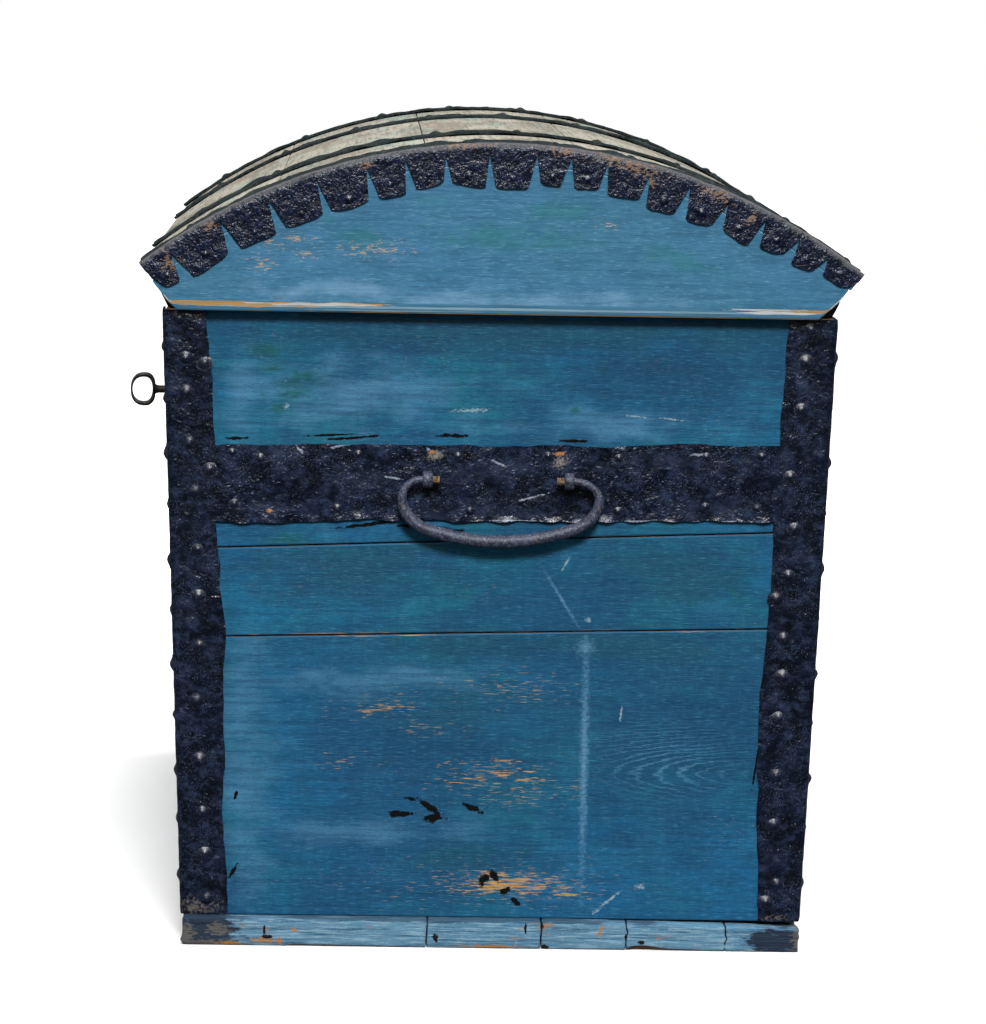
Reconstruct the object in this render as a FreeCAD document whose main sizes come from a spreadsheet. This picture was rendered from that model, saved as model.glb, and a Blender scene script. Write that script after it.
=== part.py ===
"""Dome-lidded, iron-bound blanket chest as a parametric FreeCAD document.

Frame: +X along the chest, -Y to the front (lock side), +Z up.  The origin is on the floor, at the
centre of the chest's foot.  All lengths are in millimetres and all angles in degrees.
"""

import FreeCAD
import Part
import Sketcher

import math
import os
import re

Vector = FreeCAD.Vector
doc = FreeCAD.newDocument("BlanketChest")

# ---------------------------------------------------------------------------------------------
# Driving dimensions.  Each cell holds one plain number; everything else is worked out from them.
# ---------------------------------------------------------------------------------------------
DIMENSIONS = {
    # carcase: the two long sides lean outward, so the chest is deeper at the rim than at the foot
    "chest_length": 1080,
    "rim_half_depth": 288,
    "side_lean": 21,
    "rim_height": 549,
    "board_thickness": 22,
    "board_gap": 1.2,
    "low_joint_front": 266,
    "low_joint_back": 280,
    "high_joint_front": 343,
    "high_joint_back": 364,
    "bottom_thickness": 20,
    # three battens across the underside
    "batten_height": 24,
    "batten_width": 70,
    "batten_overhang": 18,
    # domed lid
    "lid_clearance": 0.5,
    "lid_side_overhang": 21,
    "dome_sagitta": 107,
    "tip_rise": 38,
    "lid_overhang": 16,
    "gable_thickness": 30,
    "gable_chamfer": 7,
    "gable_foot_inset": 2,
    "stave_thickness": 16,
    "stave_gap": 0.8,
    "rail_thickness": 24,
    # wrought iron bands
    "iron_thickness": 2.5,
    "corner_leg_end": 43,
    "corner_leg_side": 46,
    "band_height": 65,
    "band_centre_height": 403,
    "strap_width": 50,
    "strap_spacing": 520,
    "tab_length": 40,
    "tab_count": 18,
    "tab_notch": 9,
    # strap hinges at the back
    "pin_radius": 3,
    "pin_clearance": 0.05,
    "pin_head": 1.5,
    "knuckle_radius": 6.5,
    "knuckle_gap": 0.4,
    "hinge_standoff": 0.4,
    "leaf_clearance": 1,
    "hinge_leaf_length": 480,
    # bail handles on the ends
    "bail_height": 407,
    "bail_standoff": 13,
    "bail_half_width": 81,
    "bail_bar_radius": 4.6,
    "bail_drop": 55,
    "bail_corner_radius": 16,
    "bail_side_radius": 28,
    "eye_spacing": 122,
    "eye_wire_radius": 2.6,
    "eye_clearance": 0.6,
    "stub_inner_length": 9,
    "staple_length": 27,
    # hand-made nails
    "nail_head_radius": 5,
    "nail_head_height": 2.6,
    "nail_shank_radius": 1.6,
    "nail_length": 24,
    "nail_pitch": 46,
    "nail_stagger": 9,
    "nail_edge": 10,
    "band_nail_pitch": 69,
    "tab_nail_inset": 9,
    # lock, its key and the catch on the lid
    "key_below_rim": 113,
    "key_shank_radius": 3.4,
    "keyhole_clearance": 1.2,
    "key_projection": 58,
    "bow_outer_radius": 15.5,
    "bow_inner_radius": 11,
    "bow_thickness": 4.5,
    "bit_start": 4,
    "bit_length": 11,
    "bit_radius": 15,
    "bit_thickness": 3,
    "bit_engagement": 4,
    "lock_play": 1,
    "case_half_length": 70,
    "case_below_key": 40,
    "case_above_key": 85,
    "case_depth": 24,
    "case_wall": 2,
    "plate_half_length": 42,
    "plate_half_height": 55,
    "bolt_standoff": 6.5,
    "bolt_thickness": 6,
    "bolt_bar_height": 13,
    "bolt_bar_level": 64,
    "bolt_travel": 18,
    "bolt_rest_gap": 4,
    "talon_half_width": 11,
    "talon_depth": 6,
    "talon_cheek": 6,
    "catch_offset": 34,
    "catch_thickness": 4,
    "catch_width": 14,
    "catch_step": 1.5,
    "catch_edge": 3,
    "catch_plate_length": 44,
    "catch_plate_height": 30,
    "catch_plate_thickness": 3,
}

sheet = doc.addObject("Spreadsheet::Sheet", "Sizes")
for row, (name, number) in enumerate(DIMENSIONS.items(), start=1):
    sheet.set(f"A{row}", name)
    sheet.set(f"B{row}", str(number))
    sheet.setAlias(f"B{row}", name)
doc.recompute()


def tied(text):
    """An expression in which every dimension's name points at its cell."""
    return re.sub(r"[a-z]+(?:_[a-z]+)+", r"Sizes.\g<0>", text)


def number(text):
    """The present value of an expression of dimension names."""
    found = sheet.evalExpression(text)
    return float(getattr(found, "Value", found))


# ---------------------------------------------------------------------------------------------
# Derived sizes, written as expressions of the driving ones
# ---------------------------------------------------------------------------------------------
FOOT_HALF = "(rim_half_depth - side_lean)"
LEAN = "(side_lean / (rim_height - batten_height))"
END_FACE = "(chest_length / 2)"
GABLE_FACE = "(chest_length / 2 + lid_overhang)"
LID_FOOT = "(rim_height + lid_clearance)"
LID_HALF = "(rim_half_depth + lid_side_overhang)"
DOME_RADIUS = f"(({LID_HALF} ^ 2 + dome_sagitta ^ 2) / (2 * dome_sagitta))"
INNER_RADIUS = f"({DOME_RADIUS} - stave_thickness)"
STRAP_RADIUS = f"({DOME_RADIUS} + iron_thickness)"
TIP_ANGLE = f"asin({LID_HALF} / {DOME_RADIUS})"
DOME_CENTRE = f"({LID_FOOT} + tip_rise + dome_sagitta - {DOME_RADIUS})"
HINGE_DEPTH = "(rim_half_depth + knuckle_radius + hinge_standoff)"
KEY_HEIGHT = "(rim_height - key_below_rim)"
STAVE_COUNT = 5
STAVE_ANGLE = f"(2 * {TIP_ANGLE} / {STAVE_COUNT})"


def side_face(height):
    """Half depth of the leaning outer faces at a height."""
    return f"({FOOT_HALF} + {LEAN} * ({height} - batten_height))"


def side_inner(height):
    """Half depth of the inside of the long sides at a height."""
    return f"({side_face(height)} - board_thickness)"


def joint_height(joint, side):
    """Height at which a slanting board joint meets the front (side -1) or back (side +1) face."""
    return f"{joint}_joint_{'front' if side < 0 else 'back'}"


# ---------------------------------------------------------------------------------------------
# Helpers: a piece is a Body of profiles drawn in the plane across the chest and padded along X
# ---------------------------------------------------------------------------------------------
def plane_of(body, role):
    """One of the body's own origin planes or axes."""
    return next(f for f in body.Origin.OriginFeatures if f.Role == role)


def new_body(label, start="0", height="0"):
    """An empty Body whose origin is at X = start and Z = height."""
    body = doc.addObject("PartDesign::Body", label)
    body.Label = label
    body.Placement = FreeCAD.Placement(Vector(number(start), 0, number(height)), FreeCAD.Rotation())
    body.setExpression("Placement.Base.x", tied(start))
    body.setExpression("Placement.Base.z", tied(height))
    return body


def pin_point(sketch, geometry, place, point, both=True):
    """Ties one point of a sketch to its two expressions, or to the first one alone."""
    kinds = ("DistanceX", "DistanceY") if both else ("DistanceX",)
    for kind, text in zip(kinds, point):
        tie = sketch.addConstraint(Sketcher.Constraint(kind, -1, 1, geometry, place, number(text)))
        sketch.setExpression(f"Constraints[{tie}]", tied(text))


def new_sketch(body, name, plane, offset):
    """An empty sketch on one of the body's own planes, moved along that plane's normal."""
    sketch = body.newObject("Sketcher::SketchObject", name)
    sketch.AttachmentSupport = [(plane_of(body, plane), "")]
    sketch.MapMode = "FlatFace"
    sketch.setExpression("AttachmentOffset.Base.z", tied(offset))
    return sketch


def profile(body, name, points, arcs=None, plane="YZ_Plane", offset="0"):
    """A closed sketch through the points; arcs maps a side's index to the centre it curves about."""
    arcs = arcs or {}
    sketch = new_sketch(body, name, plane, offset)
    places = [Vector(number(x), number(y), 0) for x, y in points]
    ends = []
    for index, start in enumerate(places):
        stop = places[(index + 1) % len(places)]
        if index in arcs:
            centre = Vector(number(arcs[index][0]), number(arcs[index][1]), 0)
            from_angle = math.atan2(start.y - centre.y, start.x - centre.x)
            to_angle = math.atan2(stop.y - centre.y, stop.x - centre.x)
            circle = Part.Circle(centre, Vector(0, 0, 1), (start - centre).Length)
            forward = math.sin(to_angle - from_angle) > 0
            first, last = (from_angle, to_angle) if forward else (to_angle, from_angle)
            sketch.addGeometry(Part.ArcOfCircle(circle, first, last), False)
            ends.append((1, 2) if forward else (2, 1))
        else:
            sketch.addGeometry(Part.LineSegment(start, stop), False)
            ends.append((1, 2))
    for index, (_, last) in enumerate(ends):
        after = (index + 1) % len(ends)
        sketch.addConstraint(Sketcher.Constraint("Coincident", index, last, after, ends[after][0]))
    for index, point in enumerate(points):
        pin_point(sketch, index, ends[index][0], point, both=(index - 1) % len(points) not in arcs)
        if index in arcs:
            pin_point(sketch, index, 3, arcs[index])
    return sketch


def circles(body, name, centre, radii, plane="YZ_Plane", offset="0"):
    """A sketch of one circle, or of two that bound a ring."""
    sketch = new_sketch(body, name, plane, offset)
    middle = Vector(number(centre[0]), number(centre[1]), 0)
    for index, radius in enumerate(radii):
        sketch.addGeometry(Part.Circle(middle, Vector(0, 0, 1), number(radius)), False)
        pin_point(sketch, index, 3, centre)
        tie = sketch.addConstraint(Sketcher.Constraint("Radius", index, number(radius)))
        sketch.setExpression(f"Constraints[{tie}]", tied(radius))
    return sketch


def pad(body, name, sketch, length, reverse=False):
    """Material along the sketch's normal, or against it."""
    feature = body.newObject("PartDesign::Pad", name)
    feature.Profile = sketch
    feature.Reversed = reverse
    feature.setExpression("Length", tied(length))
    return feature


def pocket(body, name, sketch, reverse=False):
    """A cut right through the body, checked to remove material."""
    doc.recompute()
    before = body.Shape.Volume
    feature = body.newObject("PartDesign::Pocket", name)
    feature.Profile = sketch
    feature.Type = "ThroughAll"
    feature.Reversed = reverse
    doc.recompute()
    if not body.Shape.Volume < before:
        raise RuntimeError(f"{body.Label}: {name} removes nothing")
    return feature


def slab(label, points, start, length, arcs=None, height="0"):
    """A piece that is one profile padded from X = start."""
    body = new_body(label, start, height)
    pad(body, f"{label}_pad", profile(body, f"{label}_outline", points, arcs), length)
    return body


def mirrored(label, source, normal):
    """The same piece handed over to the other end or side."""
    twin = doc.addObject("Part::Mirroring", label)
    twin.Label = label
    twin.Source = source
    twin.Normal = normal
    return twin


def solids(label, shape):
    """A piece whose shape Part's own functions make."""
    feature = doc.addObject("Part::Feature", label)
    feature.Label = label
    feature.Shape = shape
    return feature


def group(label, shapes):
    """Several separate solids of one kind, kept in one node."""
    return solids(label, Part.makeCompound(shapes))


ACROSS = Vector(1, 0, 0)
FRONT_TO_BACK = Vector(0, 1, 0)
nodes = []

# ---------------------------------------------------------------------------------------------
# Carcase boards: three courses all round, with joints that slant from front to back
# ---------------------------------------------------------------------------------------------
COURSES = {
    "low": ("batten_height", "low"),
    "middle": ("low", "high"),
    "top": ("high", "rim_height"),
}


def course_heights(course, side):
    """Bottom and top height of a course where it meets the front or back side."""
    bottom, top = COURSES[course]
    if course != "low":
        bottom = f"({joint_height(bottom, side)} + board_gap)"
    if course != "top":
        top = joint_height(top, side)
    return bottom, top


for course in COURSES:
    front_low, front_high = course_heights(course, -1)
    back_low, back_high = course_heights(course, 1)
    outline = [
        (f"-{side_inner(front_low)}", front_low),
        (side_inner(back_low), back_low),
        (side_inner(back_high), back_high),
        (f"-{side_inner(front_high)}", front_high),
    ]
    right = slab(f"end_board_right_{course}", outline, f"{END_FACE} - board_thickness", "board_thickness")
    nodes += [right, mirrored(f"end_board_left_{course}", right, ACROSS)]
    for side, face in ((-1, "front"), (1, "back")):
        low, high = course_heights(course, side)
        sign = "-" if side < 0 else ""
        outline = [
            (sign + side_inner(low), low),
            (sign + side_face(low), low),
            (sign + side_face(high), high),
            (sign + side_inner(high), high),
        ]
        board = slab(f"{face}_board_{course}", outline, f"-{END_FACE}", "chest_length")
        nodes.append(board)
        if (face, course) == ("front", "top"):
            keyhole_board = board

# Bottom boards run lengthwise between the sides and stand on the battens.
BOTTOM_TOP = "(batten_height + bottom_thickness)"
THIRD = f"({side_inner('batten_height')} / 3)"
bottom_edges = {
    "front": (f"-{side_inner('batten_height')}", f"-{side_inner(BOTTOM_TOP)}", f"-{THIRD} - board_gap / 2"),
    "middle": (f"-{THIRD} + board_gap / 2", f"-{THIRD} + board_gap / 2", f"{THIRD} - board_gap / 2"),
    "back": (side_inner("batten_height"), side_inner(BOTTOM_TOP), f"{THIRD} + board_gap / 2"),
}
for name, (outer_low, outer_high, inner) in bottom_edges.items():
    outline = [
        (inner, "batten_height"),
        (outer_low, "batten_height"),
        (outer_high, BOTTOM_TOP),
        (inner, BOTTOM_TOP),
    ]
    start = f"-{END_FACE} + board_thickness"
    nodes.append(slab(f"bottom_board_{name}", outline, start, "chest_length - 2 * board_thickness"))

# Battens run from front to back under the bottom; the end ones stand out past the end boards.
batten_outline = [
    (f"-{FOOT_HALF}", "0"),
    (FOOT_HALF, "0"),
    (FOOT_HALF, "batten_height"),
    (f"-{FOOT_HALF}", "batten_height"),
]
batten_start = f"{END_FACE} + batten_overhang - batten_width"
batten = slab("foot_batten_right", batten_outline, batten_start, "batten_width")
nodes += [batten, mirrored("foot_batten_left", batten, ACROSS)]
nodes.append(slab("foot_batten_middle", batten_outline, "-batten_width / 2", "batten_width"))

# ---------------------------------------------------------------------------------------------
# Iron on the carcase: angle bands on the corners, one band across each end, two down the front
# ---------------------------------------------------------------------------------------------
corner = new_body("corner_band_back_right", END_FACE)
corner_outer = [f"({side_face(level)} + iron_thickness)" for level in ("batten_height", "rim_height")]
end_leg = [
    (f"{corner_outer[0]} - corner_leg_end", "batten_height"),
    (corner_outer[0], "batten_height"),
    (corner_outer[1], "rim_height"),
    (f"{corner_outer[1]} - corner_leg_end", "rim_height"),
]
side_leg = [
    (side_face("batten_height"), "batten_height"),
    (corner_outer[0], "batten_height"),
    (corner_outer[1], "rim_height"),
    (side_face("rim_height"), "rim_height"),
]
pad(corner, "corner_end_leg", profile(corner, "corner_end_outline", end_leg), "iron_thickness")
side_sketch = profile(corner, "corner_side_outline", side_leg, offset="iron_thickness")
pad(corner, "corner_side_leg", side_sketch, "corner_leg_side", reverse=True)
front_right = mirrored("corner_band_front_right", corner, FRONT_TO_BACK)
nodes += [corner, front_right]
nodes.append(mirrored("corner_band_back_left", corner, ACROSS))
nodes.append(mirrored("corner_band_front_left", front_right, ACROSS))

BAND_LOW = "(band_centre_height - band_height / 2)"
BAND_HIGH = "(band_centre_height + band_height / 2)"


def band_end(height):
    """Half length of the end band, which stops against the legs of the corner bands."""
    return f"({side_face(height)} + iron_thickness - corner_leg_end)"


band_outline = [
    (f"-{band_end(BAND_LOW)}", BAND_LOW),
    (band_end(BAND_LOW), BAND_LOW),
    (band_end(BAND_HIGH), BAND_HIGH),
    (f"-{band_end(BAND_HIGH)}", BAND_HIGH),
]
end_band = slab("end_band_right", band_outline, END_FACE, "iron_thickness")
nodes += [end_band, mirrored("end_band_left", end_band, ACROSS)]

STRAP_START = "(strap_spacing / 2 - strap_width / 2)"
front_outline = [(f"-{y}", z) for y, z in side_leg]
front_band = slab("front_band_right", front_outline, STRAP_START, "strap_width")
nodes += [front_band, mirrored("front_band_left", front_band, ACROSS)]

# ---------------------------------------------------------------------------------------------
# Lid: two gables, a rail along the front and back, and staves bent over them into a dome
# ---------------------------------------------------------------------------------------------
GABLE_FOOT = "(rim_half_depth - gable_foot_inset)"
dome_axis = ("0", DOME_CENTRE)


def dome_tip(radius):
    """Where a circle about the dome's axis ends, at the back."""
    return f"({radius} * sin({TIP_ANGLE}))", f"({DOME_CENTRE} + {radius} * cos({TIP_ANGLE}))"


inner_tip = dome_tip(INNER_RADIUS)
gable_outline = [
    (f"-{GABLE_FOOT}", LID_FOOT),
    (GABLE_FOOT, LID_FOOT),
    inner_tip,
    (f"-{inner_tip[0]}", inner_tip[1]),
]
gable = new_body("lid_gable_right", f"{GABLE_FACE} - gable_thickness")
gable_sketch = profile(gable, "gable_outline", gable_outline, {2: dome_axis})
pad(gable, "gable_pad", gable_sketch, "gable_thickness")
chamfer_outline = [
    ("gable_thickness - gable_chamfer / 2", LID_FOOT),
    ("gable_thickness", LID_FOOT),
    ("gable_thickness", f"{LID_FOOT} + gable_chamfer"),
]
chamfer_sketch = profile(gable, "gable_chamfer_outline", chamfer_outline, plane="XZ_Plane",
                         offset="-rim_half_depth")
pocket(gable, "gable_chamfer_cut", chamfer_sketch)
nodes += [gable, mirrored("lid_gable_left", gable, ACROSS)]

RAIL_INNER = f"({GABLE_FOOT} - rail_thickness)"
rail_outline = [
    (RAIL_INNER, LID_FOOT),
    (GABLE_FOOT, LID_FOOT),
    inner_tip,
    (RAIL_INNER, f"{DOME_CENTRE} + sqrt({INNER_RADIUS} ^ 2 - {RAIL_INNER} ^ 2)"),
]
RAIL_HALF = f"({GABLE_FACE} - gable_thickness)"
back_rail = slab("lid_rail_back", rail_outline, f"-{RAIL_HALF}", f"2 * {RAIL_HALF}")
nodes += [back_rail, mirrored("lid_rail_front", back_rail, FRONT_TO_BACK)]

# Each stave is the same ring sector, turned about the dome's axis.
STAVE_EDGE = f"({STAVE_ANGLE} / 2 - stave_gap / 2 / {DOME_RADIUS} * 180 / pi * 1 deg)"


def polar(radius, angle, sign=""):
    """A point about the dome's axis, at an angle from the crown."""
    return f"{sign}({radius} * sin({angle}))", f"({radius} * cos({angle}))"


def sector_outline(inner, outer, half_angle):
    """A ring sector about the body's own origin, symmetric about +Z; sides 0 and 2 are arcs."""
    return [
        polar(inner, half_angle),
        polar(inner, half_angle, "-"),
        polar(outer, half_angle, "-"),
        polar(outer, half_angle),
    ]


own_axis = ("0", "0")
sector_arcs = {0: own_axis, 2: own_axis}
stave_names = ("front", "front_shoulder", "crown", "back_shoulder", "back")
for index, name in enumerate(stave_names):
    outline = sector_outline(INNER_RADIUS, DOME_RADIUS, STAVE_EDGE)
    stave = slab(f"lid_stave_{name}", outline, f"-{GABLE_FACE}", f"2 * {GABLE_FACE}", sector_arcs,
                 DOME_CENTRE)
    turn = f"{(STAVE_COUNT - 1) / 2 - index} * {STAVE_ANGLE}"
    stave.Placement.Rotation = FreeCAD.Rotation(ACROSS, number(turn) or 1)
    stave.setExpression("Placement.Rotation.Angle", tied(turn))
    nodes.append(stave)

# ---------------------------------------------------------------------------------------------
# Iron on the lid: toothed end straps folded over the gables, and two hinge straps over the dome
# ---------------------------------------------------------------------------------------------
edge_strap = new_body("lid_edge_strap_right", GABLE_FACE, DOME_CENTRE)
cover = profile(edge_strap, "edge_cover", sector_outline(DOME_RADIUS, STRAP_RADIUS, TIP_ANGLE), sector_arcs,
                offset="iron_thickness")
pad(edge_strap, "edge_cover_pad", cover, "strap_width", reverse=True)
TAB_ROOT = f"({DOME_RADIUS} - tab_length)"
teeth = profile(edge_strap, "edge_teeth", sector_outline(TAB_ROOT, STRAP_RADIUS, TIP_ANGLE), sector_arcs)
pad(edge_strap, "edge_teeth_pad", teeth, "iron_thickness")
TAB_ANGLE = f"(2 * {TIP_ANGLE} / tab_count)"
first_notch = f"({TIP_ANGLE} - {TAB_ANGLE})"
notch_radius = f"({TAB_ROOT} - iron_thickness)"
notch_half = f"(tab_notch / 2 / {TAB_ROOT} * 180 / pi * 1 deg)"
notch_tip = f"({DOME_RADIUS} - 2 * iron_thickness)"
notch_outline = [
    polar(notch_radius, f"({first_notch} - {notch_half})"),
    polar(notch_radius, f"({first_notch} + {notch_half})"),
    polar(notch_tip, first_notch),
]
notch_sketch = profile(edge_strap, "tab_notch_outline", notch_outline)
notch = pocket(edge_strap, "tab_notch_cut", notch_sketch, reverse=True)
notches = edge_strap.newObject("PartDesign::PolarPattern", "tab_notches")
notches.Originals = [notch]
notches.Axis = (plane_of(edge_strap, "X_Axis"), [""])
notches.Mode = "Extent"
notches.setExpression("Angle", tied(f"{TAB_ANGLE} * (tab_count - 2)"))
notches.setExpression("Occurrences", tied("tab_count - 1"))
edge_strap.Tip = notches
nodes += [edge_strap, mirrored("lid_edge_strap_left", edge_strap, ACROSS)]

# The lid's hinge strap lies over the dome, turns in at the back and ends in the middle knuckle.
KNUCKLE_LENGTH = "((strap_width - 2 * knuckle_gap) / 3)"
pin_hole = "(pin_radius + pin_clearance)"
hinge_axis = (HINGE_DEPTH, "rim_height")


def knuckle(body, name, offset):
    """A rolled eye about the hinge axis, one third of the hinge long."""
    sketch = circles(body, f"{name}_outline", hinge_axis, ("knuckle_radius", pin_hole), offset=offset)
    pad(body, name, sketch, KNUCKLE_LENGTH)


lid_strap = new_body("lid_hinge_strap_right", STRAP_START)
outer_tip = dome_tip(DOME_RADIUS)
strap_tip = dome_tip(STRAP_RADIUS)
dome_strap_outline = [
    outer_tip,
    (f"-{outer_tip[0]}", outer_tip[1]),
    (f"-{strap_tip[0]}", strap_tip[1]),
    strap_tip,
]
dome_strap_sketch = profile(lid_strap, "dome_strap_outline", dome_strap_outline, {0: dome_axis, 2: dome_axis})
pad(lid_strap, "dome_strap_pad", dome_strap_sketch, "strap_width")
KNUCKLE_CLEAR = f"({LID_FOOT} + knuckle_radius + leaf_clearance)"
KNUCKLE_OUTER = f"({HINGE_DEPTH} + knuckle_radius)"
turn_in = [
    outer_tip,
    strap_tip,
    (KNUCKLE_OUTER, KNUCKLE_CLEAR),
    (f"{KNUCKLE_OUTER} - iron_thickness", KNUCKLE_CLEAR),
]
pad(lid_strap, "turn_in_pad", profile(lid_strap, "turn_in_outline", turn_in), "strap_width")
tongue = [
    (KNUCKLE_OUTER, KNUCKLE_CLEAR),
    (f"{KNUCKLE_OUTER} - iron_thickness", KNUCKLE_CLEAR),
    (f"{KNUCKLE_OUTER} - iron_thickness", "rim_height"),
    (KNUCKLE_OUTER, "rim_height"),
]
knuckle_start = f"{KNUCKLE_LENGTH} + knuckle_gap"
tongue_sketch = profile(lid_strap, "tongue_outline", tongue, offset=knuckle_start)
pad(lid_strap, "tongue_pad", tongue_sketch, KNUCKLE_LENGTH)
knuckle(lid_strap, "middle_knuckle", knuckle_start)
nodes += [lid_strap, mirrored("lid_hinge_strap_left", lid_strap, ACROSS)]

# The carcase's leaf runs down the back from the two outer knuckles.
LEAF_TOP = "(rim_height - knuckle_radius - leaf_clearance)"
LEAF_FOOT = "(rim_height - hinge_leaf_length)"
back_leaf = new_body("back_hinge_strap_right", STRAP_START)
leaf_outline = [
    (side_face(LEAF_FOOT), LEAF_FOOT),
    (f"{side_face(LEAF_FOOT)} + iron_thickness", LEAF_FOOT),
    (f"{side_face(LEAF_TOP)} + iron_thickness", LEAF_TOP),
    (side_face(LEAF_TOP), LEAF_TOP),
]
pad(back_leaf, "leaf_pad", profile(back_leaf, "leaf_outline", leaf_outline), "strap_width")
root_outline = [
    (side_face(LEAF_TOP), LEAF_TOP),
    (f"{side_face(LEAF_TOP)} + iron_thickness", LEAF_TOP),
    (f"{HINGE_DEPTH} - pin_radius - pin_clearance * 2", "rim_height"),
    (f"{HINGE_DEPTH} - knuckle_radius", "rim_height"),
]
for index, start in enumerate(("0", f"2 * ({KNUCKLE_LENGTH} + knuckle_gap)")):
    root = profile(back_leaf, f"knuckle_root_outline_{index}", root_outline, offset=start)
    pad(back_leaf, f"knuckle_root_{index}", root, KNUCKLE_LENGTH)
    knuckle(back_leaf, f"outer_knuckle_{index}", start)
nodes += [back_leaf, mirrored("back_hinge_strap_left", back_leaf, ACROSS)]

hinge_pin = new_body("hinge_pin_right", f"{STRAP_START} - pin_head")
pin_steps = {
    "pin_shaft": ("pin_radius", "strap_width + 2 * pin_head", "0"),
    "pin_near_head": ("pin_radius + pin_head", "pin_head", "0"),
    "pin_far_head": ("pin_radius + pin_head", "pin_head", "strap_width + pin_head"),
}
for name, (radius, length, offset) in pin_steps.items():
    pad(hinge_pin, name, circles(hinge_pin, f"{name}_outline", hinge_axis, [radius], offset=offset), length)
nodes += [hinge_pin, mirrored("hinge_pin_left", hinge_pin, ACROSS)]

# ---------------------------------------------------------------------------------------------
# Bail handles: a bar hanging from two eyes, its ends turned inward through them
# ---------------------------------------------------------------------------------------------
bar_radius = number("bail_bar_radius")
half_width = number("bail_half_width")
corner_radius = number("bail_corner_radius")
side_radius = number("bail_side_radius")
drop = number("bail_drop")
eye_half_spacing = number("eye_spacing / 2")
bail_plane = number(f"{END_FACE} + bail_standoff")
bail_level = number("bail_height")


def on_circle(centre, radius, degrees):
    """A point of the bail's plane on a circle; angles are measured from +Y towards +Z."""
    angle = math.radians(degrees)
    return Vector(bail_plane, centre[0] + radius * math.cos(angle), centre[1] + radius * math.sin(angle))


def bail_path():
    """Inward stub, corner and side arcs, one shallow bottom arc tangent to both sides, and back."""
    corner_centre = (half_width - corner_radius, bail_level - corner_radius)
    side_centre = (half_width - side_radius, bail_level - corner_radius)
    below_side = drop - corner_radius
    bottom_radius = ((side_centre[0] ** 2 + below_side ** 2 - side_radius ** 2)
                     / (2 * (below_side - side_radius)))
    bottom_centre = (0, bail_level - drop + bottom_radius)
    meet = math.degrees(math.atan2(side_centre[1] - bottom_centre[1], side_centre[0] - bottom_centre[0]))
    stub_start = Vector(bail_plane, eye_half_spacing - number("stub_inner_length"), bail_level)
    stub_end = on_circle(corner_centre, corner_radius, 90)
    side_start = on_circle(corner_centre, corner_radius, 0)
    side_end = on_circle(side_centre, side_radius, meet)
    half = [
        [stub_start, stub_end],
        [stub_end, on_circle(corner_centre, corner_radius, 45), side_start],
        [side_start, on_circle(side_centre, side_radius, meet / 2), side_end],
    ]
    other = [[Vector(point.x, -point.y, point.z) for point in reversed(run)] for run in reversed(half)]
    runs = half + [[side_end, Vector(bail_plane, 0, bail_level - drop), other[0][0]]] + other
    curves = [Part.LineSegment(*run) if len(run) == 2 else Part.Arc(*run) for run in runs]
    return Part.Wire([curve.toShape() for curve in curves]), stub_start


path, stub_start = bail_path()
bar_section = Part.Wire(Part.Circle(stub_start, FRONT_TO_BACK, bar_radius).toShape())
bail = solids("bail_right", path.makePipeShell([bar_section], True, True).Solids[0])

eye_radius = bar_radius + number("eye_clearance + eye_wire_radius")
wire_radius = number("eye_wire_radius")
eyes = []
for side in (-1, 1):
    centre = Vector(bail_plane, side * eye_half_spacing, bail_level)
    eye = Part.makeTorus(eye_radius, wire_radius, centre, FRONT_TO_BACK)
    root = centre - Vector(eye_radius, 0, 0)
    eyes.append(eye.fuse(Part.makeCylinder(wire_radius, number("staple_length"), root, Vector(-1, 0, 0))))
bail_eyes = group("bail_eyes_right", eyes)
nodes += [bail, mirrored("bail_left", bail, ACROSS), bail_eyes, mirrored("bail_eyes_left", bail_eyes, ACROSS)]

# ---------------------------------------------------------------------------------------------
# Hand-made nails with low domed heads, driven through the iron into the boards
# ---------------------------------------------------------------------------------------------
def nail_along(point, direction):
    """One nail whose head seats at the point and faces the direction."""
    head = number("nail_head_radius")
    crown = number("nail_head_height")
    shank = number("nail_shank_radius")
    length = number("nail_length")
    ball_radius = (head ** 2 + crown ** 2) / (2 * crown)
    ball = Part.makeSphere(ball_radius, Vector(0, 0, crown - ball_radius))
    cap = ball.common(Part.makeCylinder(head, crown))
    spike = Part.makeCone(shank, shank / 4, length, Vector(), Vector(0, 0, -1))
    nail = cap.fuse(spike).Solids[0]
    nail.Placement = FreeCAD.Placement(Vector(*point), FreeCAD.Rotation(Vector(0, 0, 1), direction))
    return nail


def both_ends(shapes):
    """The shapes and their twins at the other end of the chest."""
    return shapes + [shape.mirror(Vector(), ACROSS) for shape in shapes]


iron = number("iron_thickness")
lean = number(LEAN)
side_normal = Vector(0, 1, -lean).normalize()
front_normal = Vector(0, -side_normal.y, side_normal.z)
head_margin = number("nail_edge")
stagger = number("nail_stagger")


def spread(low, high, pitch):
    """Evenly spread places from low to high, about one pitch apart."""
    steps = max(1, round((high - low) / pitch))
    return [low + (high - low) * step / steps for step in range(steps + 1)]


def side_at(height):
    return number(FOOT_HALF) + lean * (height - number("batten_height"))


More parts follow.
